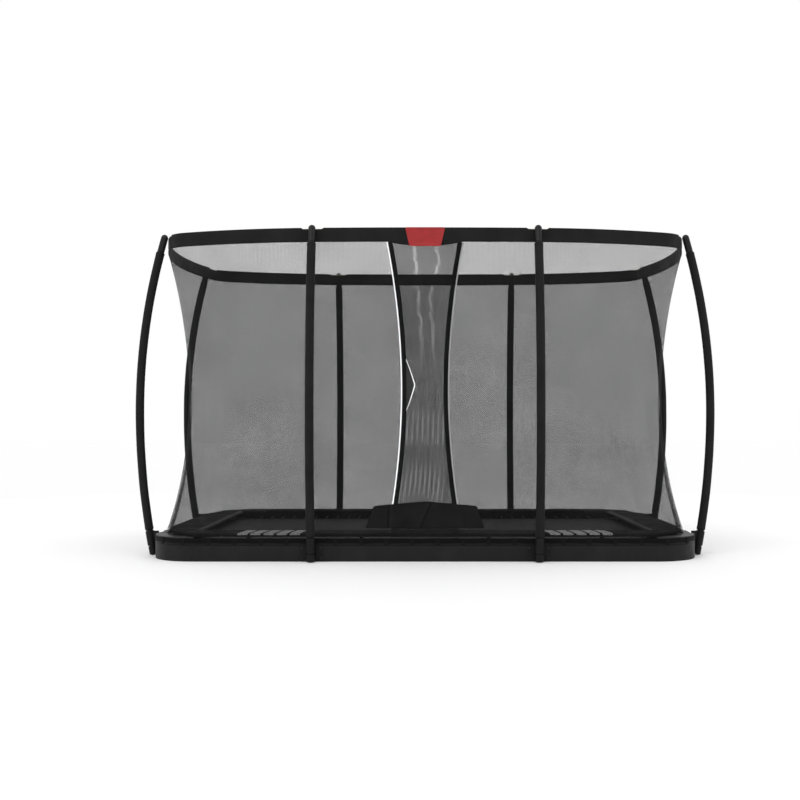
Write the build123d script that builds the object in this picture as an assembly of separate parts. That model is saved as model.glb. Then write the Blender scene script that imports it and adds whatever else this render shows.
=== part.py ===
from build123d import *
import os
from math import asin, ceil, cos, degrees, floor, hypot, pi, radians, sin, sqrt

# Rectangular ground trampoline with a safety net. Millimetres, +Z up. The origin is at ground level
# under the middle of the frame: +X runs along the long side and the entrance faces -Y.

# Ground frame
FRAME_LENGTH = 4100.0
FRAME_WIDTH = 2500.0
CORNER_RADIUS = 350.0
RAIL_BOTTOM = 124.0
RAIL_SIZE = 44.0
RAIL_WALL = 2.0
PANEL_SHEET = 3.0
PANEL_FLANGE = 30.0
SEAM = 1.0                      # gap between two sections laid end to end
TOUCH = 0.2                     # gap between two pieces that bear on each other

# Jumping mat, rings and springs
MAT_LENGTH = 3560.0
MAT_WIDTH = 1960.0
MAT_CORNER_CUT = 150.0
MAT_BOTTOM = 126.0
MAT_THICKNESS = 3.0
WEBBING_WIDTH = 50.0
WEBBING_THICKNESS = 2.0
SPRING_PITCH = 104.0
SPRING_RADIUS = 11.0
SPRING_HOOK_LENGTH = 24.0
SPRING_WIRE_RADIUS = 1.8
RING_LENGTH = 34.0
RING_WIDTH = 44.0
RING_WIRE = 5.0

# Edge pads
PAD_OUTSET = 42.0               # from the frame's outer face in to the pad's outer edge
PAD_LONG_INNER_Y = 928.0
PAD_SIDE_INNER_X = 1710.0
PAD_THICKNESS = 28.0
PAD_GAP = 8.0                   # above the rail
PAD_CORNER_X = 1500.0           # seam between a long pad and a corner pad
PAD_CORNER_Y = 600.0            # seam between a side pad and a corner pad
PAD_CUT_X = 1680.0              # where the corner pad leaves the long side
PAD_CUT_CORNERS = ((1900.0, 1035.0), (1935.0, 800.0))
STRAP_WIDTH = 30.0
STRAP_THICKNESS = 2.0

# Net poles: two tangent arcs that meet upright where the pole is furthest out
POLE_LONG_X = 832.0             # the poles on the long sides stand at this X
POLE_SIDE_Y = 815.0             # the poles on the short sides stand at this Y
POLE_STAND_OFF = 45.0           # pole axis outside the frame's face, at the ground
POLE_APEX_Z = 1100.0
POLE_APEX_OUT = 108.0
POLE_LOWER_RADIUS = 5600.0
POLE_UPPER_RADIUS = 4830.0
POLE_FOOT_Z = 8.0
POLE_TUBE_RADIUS = 25.0
POLE_TUBE_WALL = 2.0
SPIGOT_WALL = 2.2
SPIGOT_FIT = 0.2
SPIGOT_DOWN = 120.0
SPIGOT_UP = 40.0
SLEEVE_RADIUS = 32.5
SLEEVE_BOTTOM_Z = 190.0
SLEEVE_TOP_Z = 2335.0
CAP_RADIUS = 27.0
CAP_BOTTOM_Z = 2338.0
POLE_TOP_Z = 2444.0

# Pole brackets
BRACKET_WIDTH = 168.0
BRACKET_HEIGHT = 114.0
BRACKET_FOOT_Z = 5.0
BRACKET_PLATE = 4.0
COLLAR_RADIUS = 33.0
COLLAR_LOW_Z = 74.0
COLLAR_HIGH_Z = 184.0
SOCKET_RADIUS = 31.0
SOCKET_HIGH_Z = 66.0
BORE_RADIUS = 25.3
RIB_THICKNESS = 6.0
RIB_SPACING = 30.0
BOLT_SHANK_RADIUS = 3.9
BOLT_HOLE_RADIUS = 4.1
BOLT_HEAD_RADIUS = 7.5
BOLT_HEAD_HEIGHT = 5.0
BOLT_ACROSS = 140.0
BOLT_LOW_Z = 24.0
BOLT_HIGH_Z = 100.0

# Top ring of the net, in plan: how far each stretch turns, from the front centre to the side centre
RING_FRONT_Y = 1195.0
RING_FRONT_TURN = 2.4
RING_LONG_TURN = 17.9
RING_CORNER_TURN = 52.7
RING_CORNER_RADIUS = 250.0
RING_LONG_CHORD = 1008.0
TOP_SLEEVE_BOTTOM = 2350.0
TOP_SLEEVE_HEIGHT = 106.0
TOP_SLEEVE_THICKNESS = 14.0
TOP_SLEEVE_FABRIC = 2.0
TOP_SLEEVE_END_GAP = 3.0
ROD_RADIUS = 4.5
ROD_Z = 2444.0

# Net walls
NET_BOTTOM = 177.0
NET_TOP = TOP_SLEEVE_BOTTOM - 3.0
NET_THICKNESS = 2.0
NET_WAIST = 161.0               # how far the net draws in at half height
NET_FOOT_POWER = 2.25           # how soon it does so above the foot, and below the top
NET_HEAD_POWER = 1.83
NET_OUTSET = 1.0                # net line outside the frame's face at the bottom
NET_CORNER_INSET = 90.0         # how far the foot cuts in at each corner
NET_CORNER_START = (1600.0, 1850.0)     # along the frame from the middle of a long side
NET_CORNER_END = (2360.0, 2600.0)
NET_ROWS = 13
NET_PANEL_GAP = 0.004           # of a station, left between two panels
LAYER_GAP = 9.0                 # between the two overlapping entrance panels

# Entrance
ENTRANCE_EDGE_TOP = 275.0
ENTRANCE_EDGE_WAIST = 172.0
BAND_WIDTH = 34.0
PIPING_RADIUS = 6.0
PIPING_FOOT = 0.05              # rise at which the piping ends, behind the flap
TAB_LENGTH = 380.0
TAB_WIDTH = 62.0
TAB_MID_Z = 1300.0
TAB_THICKNESS = 3.0
BADGE_TOP_WIDTH = 296.0
BADGE_BOTTOM_WIDTH = 230.0
BADGE_HEIGHT = 140.0
BADGE_THICKNESS = 3.0

# Threshold flap outside the foot of the entrance
FLAP_HINGE_Y = -1196.0
FLAP_HINGE_Z = 400.7
FLAP_LOW_Y = -1245.0
FLAP_LOW_Z = 244.0
FLAP_PEAK_Y = -1182.0
FLAP_PEAK_Z = 438.8
FLAP_TOP_HALF = 381.0
FLAP_LOW_HALF = 434.0
FLAP_THICKNESS = 5.0
FLAP_CLEARANCE = 4.0

# Hem of the net on the rail
HEM_BOTTOM = 132.0
HEM_TOP = 171.0
HEM_THICKNESS = 3.0
HOOK_PITCH = 200.0
HOOK_WIDTH = 24.0
HOOK_THICKNESS = 3.0

HALF_LENGTH = FRAME_LENGTH / 2
HALF_WIDTH = FRAME_WIDTH / 2
RAIL_TOP = RAIL_BOTTOM + RAIL_SIZE
PAD_BOTTOM = RAIL_TOP + PAD_GAP
PAD_TOP = PAD_BOTTOM + PAD_THICKNESS
MAT_TOP = MAT_BOTTOM + MAT_THICKNESS
MAT_MIDDLE = MAT_BOTTOM + MAT_THICKNESS / 2


class PlanPath:
    """A closed outline in plan, symmetric about both axes, that starts at the front centre.

    It is made of runs, each with a length and the angle that it turns through."""

    def __init__(self, front_y, quarter):
        self.front_y = front_y
        self.runs = (quarter + quarter[::-1]) * 4
        self.quarter_length = sum(length for length, _ in quarter)

    def at(self, distance, offset=0.0):
        """The point at a distance along the path, moved outward by offset, and the heading there."""
        x = 0.0
        y = -self.front_y
        heading = 0.0
        for length, turn in self.runs:
            part = min(distance / length, 1.0)
            turned = turn * part
            if turn:
                radius = length / turn
                x += radius * (sin(heading + turned) - sin(heading))
                y -= radius * (cos(heading + turned) - cos(heading))
            else:
                x += length * part * cos(heading)
                y += length * part * sin(heading)
            heading += turned
            distance -= length
            if distance <= 0:
                break
        return x + offset * sin(heading), y - offset * cos(heading), heading

    def joints(self, start, end):
        """The distances of the run ends between start and end, with both of these."""
        found = [start]
        total = 0.0
        for length, _ in self.runs:
            total += length
            if start + SEAM < total < end - SEAM:
                found.append(total)
        return found + [end]

    def strip(self, start, end, inner, outer):
        """The face between two offsets of the path, from one distance to another."""
        marks = self.joints(start, end)
        outside = [self.piece(a, b, outer) for a, b in zip(marks, marks[1:])]
        inside = [self.piece(a, b, inner) for a, b in zip(marks, marks[1:])]
        first = Line(self.at(start, inner)[:2], self.at(start, outer)[:2])
        last = Line(self.at(end, inner)[:2], self.at(end, outer)[:2])
        return make_face(outside + inside + [first, last])

    def piece(self, start, end, offset):
        """One line or arc of the path, at an offset."""
        first = self.at(start, offset)
        last = self.at(end, offset)
        if abs(last[2] - first[2]) < 1e-9:
            return Line(first[:2], last[:2])
        return ThreePointArc(first[:2], self.at((start + end) / 2, offset)[:2], last[:2])


def frame_path():
    quarter = [
        (HALF_LENGTH - CORNER_RADIUS, 0.0),
        (CORNER_RADIUS * pi / 2, pi / 2),
        (HALF_WIDTH - CORNER_RADIUS, 0.0),
    ]
    return PlanPath(HALF_WIDTH, quarter)


def ring_path():
    """Tangent arcs: front span, long span, corner, and a last arc that ends square at the side centre."""
    front_turn = radians(RING_FRONT_TURN)
    long_turn = radians(RING_LONG_TURN)
    corner_turn = radians(RING_CORNER_TURN)
    side_turn = pi / 2 - front_turn - long_turn - corner_turn
    front_length = POLE_LONG_X / sin(front_turn) * front_turn
    long_length = RING_LONG_CHORD / (2 * sin(long_turn / 2)) * long_turn
    quarter = [
        (front_length, front_turn),
        (long_length, long_turn),
        (RING_CORNER_RADIUS * corner_turn, corner_turn),
    ]
    side_y = -PlanPath(RING_FRONT_Y, quarter).at(sum(length for length, _ in quarter))[1]
    side_radius = side_y / sin(side_turn)
    quarter.append((side_radius * side_turn, side_turn))
    return PlanPath(RING_FRONT_Y, quarter)


FRAME = frame_path()
RING = ring_path()
STATIONS_PER_LAP = 12
# Distances of the stations along a quarter: front centre, long-side pole, short-side pole, side centre
FRAME_KNOTS = [0.0, POLE_LONG_X, FRAME.quarter_length - POLE_SIDE_Y, FRAME.quarter_length]
RING_KNOTS = [0.0, RING.runs[0][0], sum(run[0] for run in RING.runs[:3]), RING.quarter_length]

# Panels between neighbouring poles, by station
SPANS = {
    "corner_front_right": (1, 2),
    "right": (2, 4),
    "corner_back_right": (4, 5),
    "back": (5, 7),
    "corner_back_left": (7, 8),
    "left": (8, 10),
    "corner_front_left": (10, 11),
    "front": (11, 13),
}


def station_distance(knots, station):
    """Distance along a path of a station, counted three to a quarter from the front centre."""
    quarter = floor(station / 3)
    local = station - 3 * quarter
    if quarter % 2:
        local = 3 - local
    low = min(floor(local), 2)
    along = knots[low] + (knots[low + 1] - knots[low]) * (local - low)
    if quarter % 2:
        return (quarter + 1) * knots[3] - along
    return quarter * knots[3] + along


def save(node, shape):
    export_step(shape, f"parts/{node}.step")


def save_group(node, shapes):
    save(node, Compound(children=list(shapes)))


def upright(face, low, high):
    """A face in plan extruded from one height to another."""
    return Pos(0, 0, low) * extrude(face, amount=high - low)


def mirrored(shape):
    """The shape and its mirror images in the other three corners."""
    across = mirror(shape, about=Plane.YZ)
    return [shape, across, mirror(across, about=Plane.XZ), mirror(shape, about=Plane.XZ)]


# Ground frame ---------------------------------------------------------------------------------------

def frame_sections():
    """Start and end along the frame path of each straight side and each corner."""
    front = HALF_LENGTH - CORNER_RADIUS
    corner = front + CORNER_RADIUS * pi / 2
    lap = 4 * FRAME.quarter_length
    quarter = FRAME.quarter_length
    straight = {
        "front": (lap - front, lap + front),
        "right": (corner, 2 * quarter - corner),
        "back": (2 * quarter - front, 2 * quarter + front),
        "left": (2 * quarter + corner, lap - corner),
    }
    corners = [
        (front, corner),
        (2 * quarter - corner, 2 * quarter - front),
        (2 * quarter + front, 2 * quarter + corner),
        (lap - corner, lap - front),
    ]
    return straight, corners


def rail_section(start, end):
    """Square tube along part of the frame."""
    outer = FRAME.strip(start + SEAM / 2, end - SEAM / 2, -RAIL_SIZE, 0)
    hollow = FRAME.strip(start, end, RAIL_WALL - RAIL_SIZE, -RAIL_WALL)
    tube = upright(outer, RAIL_BOTTOM, RAIL_TOP)
    return tube - upright(hollow, RAIL_BOTTOM + RAIL_WALL, RAIL_TOP - RAIL_WALL)


def ground_panel_section(start, end):
    """Folded sheet that closes the frame down to the ground, with a flange at its foot and its top."""
    top = RAIL_BOTTOM - TOUCH
    start += SEAM / 2
    end -= SEAM / 2
    web = upright(FRAME.strip(start, end, -PANEL_SHEET, 0), 0, top)
    flange = FRAME.strip(start, end, -PANEL_FLANGE, -PANEL_SHEET)
    return web + upright(flange, 0, PANEL_SHEET) + upright(flange, top - PANEL_SHEET, top)


def corner_plate(start, end):
    """Flat plate on top of a corner tube, seen between the pad's cut corner and the pole."""
    face = FRAME.strip(start, end, -RAIL_SIZE * 3, -PANEL_SHEET)
    return upright(face, RAIL_TOP + TOUCH, PAD_BOTTOM - TOUCH)


def build_frame():
    straight, corners = frame_sections()
    for side, (start, end) in straight.items():
        save(f"frame_rail_{side}", rail_section(start, end))
        save(f"ground_panel_{side}", ground_panel_section(start, end))
    save_group("frame_corner_tubes", [rail_section(*span) for span in corners])
    save_group("ground_panel_corners", [ground_panel_section(*span) for span in corners])
    save_group("corner_plates", [corner_plate(*span) for span in corners])


# Mat, rings and springs -----------------------------------------------------------------------------

def mat_outline(shrink=0.0):
    """Rectangle with its corners cut at 45 degrees."""
    half_x = MAT_LENGTH / 2 - shrink
    half_y = MAT_WIDTH / 2 - shrink
    cut = MAT_CORNER_CUT - shrink * (2 - sqrt(2))
    corner = [(half_x - cut, -half_y), (half_x, cut - half_y)]
    points = corner + [(x, -y) for x, y in corner[::-1]]
    points += [(-x, -y) for x, y in corner] + [(-x, y) for x, y in corner[::-1]]
    return make_face(Polyline(*points, close=True))


def jumping_mat():
    return upright(mat_outline(), MAT_BOTTOM, MAT_TOP)


def mat_webbing():
    band = mat_outline() - mat_outline(WEBBING_WIDTH)
    return upright(band, MAT_TOP + TOUCH, MAT_TOP + TOUCH + WEBBING_THICKNESS)


def spring_places():
    """Where each spring leaves the mat's edge and its direction in degrees, side by side."""
    half_x = MAT_LENGTH / 2
    half_y = MAT_WIDTH / 2
    long_count = floor((MAT_LENGTH - 2 * MAT_CORNER_CUT) / SPRING_PITCH)
    side_count = floor((MAT_WIDTH - 2 * MAT_CORNER_CUT) / SPRING_PITCH)
    places = {"front": [], "back": [], "left": [], "right": []}
    for i in range(long_count):
        x = (i - (long_count - 1) / 2) * SPRING_PITCH
        places["front"].append((x, -half_y, -90))
        places["back"].append((x, half_y, 90))
    for i in range(side_count):
        y = (i - (side_count - 1) / 2) * SPRING_PITCH
        places["left"].append((-half_x, y, 180))
        places["right"].append((half_x, y, 0))
    middle = MAT_CORNER_CUT / 2
    for sign_x, side in ((1, "right"), (-1, "left")):
        for sign_y in (1, -1):
            angle = degrees(pi / 4) * sign_y if sign_x > 0 else 180 - 45 * sign_y
            spread = SPRING_PITCH / 2 / sqrt(2)
            for shift in (-spread, spread):
                x = sign_x * (half_x - middle + shift)
                y = sign_y * (half_y - middle - shift)
                places[side].append((x, y, angle))
    return places


def rail_reach(x, y, angle):
    """Distance from a point on the mat's edge, along a direction, to the rail's inner face."""
    step_x = cos(radians(angle))
    step_y = sin(radians(angle))
    corner_x = HALF_LENGTH - CORNER_RADIUS
    corner_y = HALF_WIDTH - CORNER_RADIUS
    radius = CORNER_RADIUS - RAIL_SIZE
    low = 0.0
    high = CORNER_RADIUS * 2
    while high - low > SPIGOT_FIT / 10:
        middle = (low + high) / 2
        over_x = max(abs(x + step_x * middle) - corner_x, 0)
        over_y = max(abs(y + step_y * middle) - corner_y, 0)
        if hypot(over_x, over_y) < radius:
            low = middle
        else:
            high = middle
    return low


def at_mat_edge(place):
    x, y, angle = place
    return Pos(x, y, MAT_MIDDLE) * Rot(0, 0, angle)


def mat_ring(place):
    """Three-sided wire ring in the mat's edge, made flat, that a spring hooks into."""
    corners = [(SEAM, -RING_WIDTH / 2), (SEAM, RING_WIDTH / 2), (RING_LENGTH, 0)]
    outline = make_face(Polyline(*corners, close=True))
    hole = offset(outline, amount=-RING_WIRE)
    return at_mat_edge(place) * Pos(0, 0, -RING_WIRE / 2) * extrude(outline - hole, amount=RING_WIRE)


def coil_spring(place):
    """A spring's envelope: the coil as one drum, with a straight hook at each end."""
    start = RING_LENGTH + TOUCH
    end = rail_reach(*place) - SEAM
    drum_start = start + SPRING_HOOK_LENGTH
    drum_end = end - SPRING_HOOK_LENGTH
    profile = Polyline(
        (start, 0),
        (start, SPRING_WIRE_RADIUS),
        (drum_start, SPRING_WIRE_RADIUS),
        (drum_start, SPRING_RADIUS),
        (drum_end, SPRING_RADIUS),
        (drum_end, SPRING_WIRE_RADIUS),
        (end, SPRING_WIRE_RADIUS),
        (end, 0),
        close=True,
    )
    return at_mat_edge(place) * revolve(make_face(profile), Axis.X)


def build_mat():
    save("jumping_mat", jumping_mat())
    save("mat_edge_webbing", mat_webbing())
    places = spring_places()
    save_group("mat_rings", [mat_ring(place) for side in places.values() for place in side])
    for side, side_places in places.items():
        save_group(f"springs_{side}", [coil_spring(place) for place in side_places])


# Edge pads ------------------------------------------------------------------------------------------

def pad_slab(points):
    return upright(make_face(Polyline(*points, close=True)), PAD_BOTTOM, PAD_TOP)


def long_pad(side):
    outer = side * (HALF_WIDTH - PAD_OUTSET)
    inner = side * PAD_LONG_INNER_Y
    reach = PAD_CORNER_X - SEAM
    return pad_slab([(-reach, outer), (reach, outer), (reach, inner), (-reach, inner)])


def side_pad(side):
    outer = side * (HALF_LENGTH - PAD_OUTSET)
    inner = side * PAD_SIDE_INNER_X
    reach = PAD_CORNER_Y - SEAM
    return pad_slab([(outer, -reach), (outer, reach), (inner, reach), (inner, -reach)])


def corner_pad():
    """L-shaped pad with its outer corner cut off in front of the pole's foot."""
    outer_x = HALF_LENGTH - PAD_OUTSET
    outer_y = HALF_WIDTH - PAD_OUTSET
    return pad_slab([
        (PAD_CORNER_X, PAD_LONG_INNER_Y),
        (PAD_CORNER_X, outer_y),
        (PAD_CUT_X, outer_y),
        *PAD_CUT_CORNERS,
        (outer_x, PAD_CORNER_Y),
        (PAD_SIDE_INNER_X, PAD_CORNER_Y),
        (PAD_SIDE_INNER_X, PAD_LONG_INNER_Y),
    ])


def pad_straps():
    """Webbing straps from the pads' undersides down inside the rail."""
    low = RAIL_BOTTOM
    height = PAD_BOTTOM - TOUCH - low
    straps = []
    inner_y = HALF_WIDTH - RAIL_SIZE - STRAP_THICKNESS
    inner_x = HALF_LENGTH - RAIL_SIZE - STRAP_THICKNESS
    for x in (-1300.0, -468.0, 468.0, 1300.0):
        strap = Pos(x, inner_y, low + height / 2) * Box(STRAP_WIDTH, STRAP_THICKNESS, height)
        straps += [strap, mirror(strap, about=Plane.XZ)]
    for y in (-468.0, 468.0):
        strap = Pos(inner_x, y, low + height / 2) * Box(STRAP_THICKNESS, STRAP_WIDTH, height)
        straps += [strap, mirror(strap, about=Plane.YZ)]
    return straps


def build_pads():
    save("edge_pad_front", long_pad(-1))
    save("edge_pad_back", long_pad(1))
    save("edge_pad_left", side_pad(-1))
    save("edge_pad_right", side_pad(1))
    save_group("edge_pad_corners", mirrored(corner_pad()))
    save_group("pad_straps", pad_straps())


# Net poles ------------------------------------------------------------------------------------------
# A pole is drawn with its axis in the XZ plane, leaning out towards +X, and then set in its place.

def pole_places():
    out = HALF_WIDTH + POLE_STAND_OFF
    side = HALF_LENGTH + POLE_STAND_OFF
    return {
        "front_left": (-POLE_LONG_X, -out, -90),
        "front_right": (POLE_LONG_X, -out, -90),
        "back_left": (-POLE_LONG_X, out, 90),
        "back_right": (POLE_LONG_X, out, 90),
        "left_front": (-side, -POLE_SIDE_Y, 180),
        "left_back": (-side, POLE_SIDE_Y, 180),
        "right_front": (side, -POLE_SIDE_Y, 0),
        "right_back": (side, POLE_SIDE_Y, 0),
    }


def in_place(shape, place):
    x, y, angle = place
    return Pos(x, y, 0) * Rot(0, 0, angle) * shape


def arc_tube(radius, low, high, outer, inner=0.0):
    """Tube along a circular arc in the XZ plane, between two heights."""
    centre_x = POLE_APEX_OUT - radius
    first = asin((low - POLE_APEX_Z) / radius)
    last = asin((high - POLE_APEX_Z) / radius)
    plane = Plane(
        origin=(centre_x + radius * cos(first), 0, POLE_APEX_Z + radius * sin(first)),
        x_dir=(cos(first), 0, sin(first)),
        z_dir=(-sin(first), 0, cos(first)),
    )
    section = plane * Circle(outer)
    if inner:
        section -= plane * Circle(inner)
    axis = Axis((centre_x, 0, POLE_APEX_Z), (0, -1, 0))
    return revolve(section, axis, degrees(last - first))


def lower_arc(low, high, outer, inner=0.0):
    return arc_tube(POLE_LOWER_RADIUS, low, high, outer, inner)


def upper_arc(low, high, outer, inner=0.0):
    return arc_tube(POLE_UPPER_RADIUS, low, high, outer, inner)


def pole_lower_tube():
    bore = POLE_TUBE_RADIUS - POLE_TUBE_WALL
    return lower_arc(POLE_FOOT_Z, POLE_APEX_Z - TOUCH, POLE_TUBE_RADIUS, bore)


def pole_upper_tube():
    """Upper tube with the spigot that plugs into the lower one."""
    bore = POLE_TUBE_RADIUS - POLE_TUBE_WALL
    inside = bore - SPIGOT_WALL
    tube = upper_arc(POLE_APEX_Z, POLE_TOP_Z, POLE_TUBE_RADIUS, bore)
    held = upper_arc(POLE_APEX_Z, POLE_APEX_Z + SPIGOT_UP, bore + SPIGOT_FIT, inside)
    plug = lower_arc(POLE_APEX_Z - SPIGOT_DOWN, POLE_APEX_Z, bore - SPIGOT_FIT, inside)
    return tube + held + plug


def pole_sleeve():
    """Foam and fabric cover over both tubes."""
    inside = POLE_TUBE_RADIUS + TOUCH
    low = lower_arc(SLEEVE_BOTTOM_Z, POLE_APEX_Z, SLEEVE_RADIUS, inside)
    return low + upper_arc(POLE_APEX_Z, SLEEVE_TOP_Z, SLEEVE_RADIUS, inside)


def pole_cap():
    """Round-ended plastic cap over the top of the upper tube."""
    inside = POLE_TUBE_RADIUS + TOUCH
    skirt = upper_arc(CAP_BOTTOM_Z, POLE_TOP_Z + TOUCH, CAP_RADIUS, inside)
    angle = asin((POLE_TOP_Z + TOUCH - POLE_APEX_Z) / POLE_UPPER_RADIUS)
    centre = (
        POLE_APEX_OUT - POLE_UPPER_RADIUS * (1 - cos(angle)),
        0,
        POLE_APEX_Z + POLE_UPPER_RADIUS * sin(angle),
    )
    end = Plane(origin=centre, z_dir=(-sin(angle), 0, cos(angle)))
    return skirt + end * Sphere(CAP_RADIUS, arc_size1=0, align=(Align.CENTER, Align.CENTER, Align.MIN))


def pole_bracket():
    """Back plate on the ground panel, two ribs, a short socket and a collar round the pole."""
    face_x = TOUCH - POLE_STAND_OFF
    plate = Pos(face_x + BRACKET_PLATE / 2, 0, BRACKET_FOOT_Z + BRACKET_HEIGHT / 2)
    shape = plate * Box(BRACKET_PLATE, BRACKET_WIDTH, BRACKET_HEIGHT)
    clear_x = HEM_THICKNESS + HOOK_THICKNESS * 2 - POLE_STAND_OFF
    plate_top = BRACKET_FOOT_Z + BRACKET_HEIGHT
    rib = make_face(Plane.XZ * Polyline(
        (face_x, BRACKET_FOOT_Z),
        (face_x, plate_top),
        (clear_x, plate_top + BRACKET_PLATE),
        (clear_x, COLLAR_HIGH_Z),
        (POLE_APEX_OUT / 3, COLLAR_HIGH_Z),
        (0, BRACKET_FOOT_Z),
        close=True,
    ))
    for side in (-1, 1):
        middle = side * RIB_SPACING / 2
        shape += Pos(0, middle, 0) * extrude(rib, amount=RIB_THICKNESS / 2, both=True)
    shape += lower_arc(COLLAR_LOW_Z, COLLAR_HIGH_Z, COLLAR_RADIUS)
    shape += lower_arc(BRACKET_FOOT_Z, SOCKET_HIGH_Z, SOCKET_RADIUS)
    shape -= lower_arc(-SOCKET_HIGH_Z, COLLAR_HIGH_Z * 2, BORE_RADIUS)
    for bolt in bolt_places():
        shape -= bolt * Cylinder(BOLT_HOLE_RADIUS, BRACKET_PLATE * 2)
    above = Box(POLE_STAND_OFF * 4, BRACKET_WIDTH, COLLAR_HIGH_Z * 2)
    return shape & Pos(0, 0, BRACKET_FOOT_Z + COLLAR_HIGH_Z) * above


def bolt_places():
    """Middle of the back plate at each bolt, with local Z pointing outward."""
    middle_x = TOUCH - POLE_STAND_OFF + BRACKET_PLATE / 2
    return [
        Pos(middle_x, side * BOLT_ACROSS / 2, z) * Rot(0, 90, 0)
        for side in (-1, 1)
        for z in (BOLT_LOW_Z, BOLT_HIGH_Z)
    ]


def bracket_bolt():
    """Hexagon head outside the plate and the shank through it."""
    head = RegularPolygon(BOLT_HEAD_RADIUS, 6)
    shank = Cylinder(BOLT_SHANK_RADIUS, BRACKET_PLATE)
    return shank + Pos(0, 0, BRACKET_PLATE / 2) * extrude(head, amount=BOLT_HEAD_HEIGHT)


def build_poles():
    places = pole_places()
    lower = pole_lower_tube()
    for name, place in places.items():
        save(f"net_pole_{name}", in_place(lower, place))
    groups = {
        "net_pole_upper_tubes": pole_upper_tube(),
        "net_pole_sleeves": pole_sleeve(),
        "net_pole_caps": pole_cap(),
        "pole_brackets": pole_bracket(),
    }
    for node, shape in groups.items():
        save_group(node, [in_place(shape, place) for place in places.values()])
    bolt = bracket_bolt()
    save_group(
        "bracket_bolts",
        [in_place(spot * bolt, place) for place in places.values() for spot in bolt_places()],
    )


# Top ring -------------------------------------------------------------------------------------------

def ring_span(first, last, gap):
    start = station_distance(RING_KNOTS, first) + gap
    end = station_distance(RING_KNOTS, last) - gap
    return start, end


def top_sleeve_span(first, last):
    """Hollow fabric channel between two poles, open at both ends."""
    start, end = ring_span(first, last, TOP_SLEEVE_END_GAP)
    half = TOP_SLEEVE_THICKNESS / 2
    fabric = TOP_SLEEVE_FABRIC
    top = TOP_SLEEVE_BOTTOM + TOP_SLEEVE_HEIGHT
    outer = upright(RING.strip(start, end, -half, half), TOP_SLEEVE_BOTTOM, top)
    hollow = RING.strip(start - fabric, end + fabric, fabric - half, half - fabric)
    return outer - upright(hollow, TOP_SLEEVE_BOTTOM + fabric, top - fabric)


def top_rod_span(first, last):
    """Square-edged stretch of the fibreglass rod inside the channel."""
    start, end = ring_span(first, last, TOP_SLEEVE_END_GAP)
    return upright(RING.strip(start, end, -ROD_RADIUS, ROD_RADIUS), ROD_Z - ROD_RADIUS, ROD_Z + ROD_RADIUS)


def build_top_ring():
    save_group("net_top_sleeve", [top_sleeve_span(*span) for span in SPANS.values()])
    save_group("net_top_rods", [top_rod_span(*span) for span in SPANS.values()])


# Net walls ------------------------------------------------------------------------------------------

def smoothstep(value):
    value = min(max(value, 0.0), 1.0)
    return value * value * (3 - 2 * value)


def foot_inset(distance):
    """How far the net's foot stands in from the frame's face: it cuts across each corner."""
    along = distance % (2 * FRAME.quarter_length)
    along = min(along, 2 * FRAME.quarter_length - along)
    start, end = NET_CORNER_START, NET_CORNER_END
    share = smoothstep((along - start[0]) / (start[1] - start[0]))
    return NET_CORNER_INSET * share * smoothstep((end[1] - along) / (end[1] - end[0]))


def net_point(station, rise, inward=0.0):
    """Point of the net wall at a station, with rise from 0 at the frame to 1 at the top ring."""
    distance = station_distance(FRAME_KNOTS, station)
    low_x, low_y, low_heading = FRAME.at(distance, NET_OUTSET - foot_inset(distance))
    top_x, top_y, top_heading = RING.at(station_distance(RING_KNOTS, station))
    heading = (low_heading + top_heading) / 2
    power = NET_FOOT_POWER if rise < 0.5 else NET_HEAD_POWER
    drawn_in = NET_WAIST * (1 - abs(1 - 2 * rise) ** power) + inward
    x = low_x + (top_x - low_x) * rise - drawn_in * sin(heading)
    y = low_y + (top_y - low_y) * rise + drawn_in * cos(heading)
    return Vector(x, y, NET_BOTTOM + (NET_TOP - NET_BOTTOM) * rise)


def sheet(columns, rises, place, thickness=NET_THICKNESS):
    """Thin solid through a grid of points.

    place gives the point of a column at a rise, moved inward by half the thickness."""
    grid = [[place(column, rise, thickness / 2) for rise in rises] for column in columns]
    return thicken(Face.make_surface_from_array_of_points(grid, max_deg=5), thickness)


def spread(first, last, count):
    """Evenly spaced values from first to last."""
    return [first + (last - first) * i / (count - 1) for i in range(count)]


def net_wall(first, last, per_station=12):
    count = per_station * (last - first) + 1
    columns = spread(first + NET_PANEL_GAP, last - NET_PANEL_GAP, count)
    return sheet(columns, spread(0, 1, NET_ROWS), net_point)


def entrance_edge(rise):
    """Half width of the entrance overlap at a rise: wide at both ends, narrow at the waist."""
    return ENTRANCE_EDGE_WAIST + (ENTRANCE_EDGE_TOP - ENTRANCE_EDGE_WAIST) * (2 * rise - 1) ** 2


def entrance_station(x):
    """Station of a point on the front wall at a given X."""
    return STATIONS_PER_LAP + x / POLE_LONG_X


def entrance_point(side, x, rise, inward=0.0):
    """Point on an entrance panel; the left panel passes behind the right one in the overlap."""
    share = min((POLE_LONG_X - side * x) / (POLE_LONG_X / 2), 1.0)
    layer = -side * LAYER_GAP / 2 * smoothstep(share)
    return net_point(entrance_station(x), rise, layer + inward)


def entrance_strip(side, left, right, columns, thickness=NET_THICKNESS, foot=0):
    """Part of an entrance panel. left and right give the X of its two edges at a rise."""

    def place(share, rise, inward):
        x = left(rise) + (right(rise) - left(rise)) * share
        return entrance_point(side, x, rise, inward)

    return sheet(spread(0, 1, columns), spread(foot, 1, NET_ROWS), place, thickness)


def entrance_panel(side):
    """side 1 is the outer panel, sewn in at the right pole; side -1 is the inner panel."""
    pole = POLE_LONG_X * (1 - NET_PANEL_GAP)

    def free_edge(rise):
        return -side * (entrance_edge(rise) - BAND_WIDTH - SEAM)

    def pole_edge(_rise):
        return side * pole

    edges = (free_edge, pole_edge) if side > 0 else (pole_edge, free_edge)
    return entrance_strip(side, *edges, columns=13)


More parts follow.
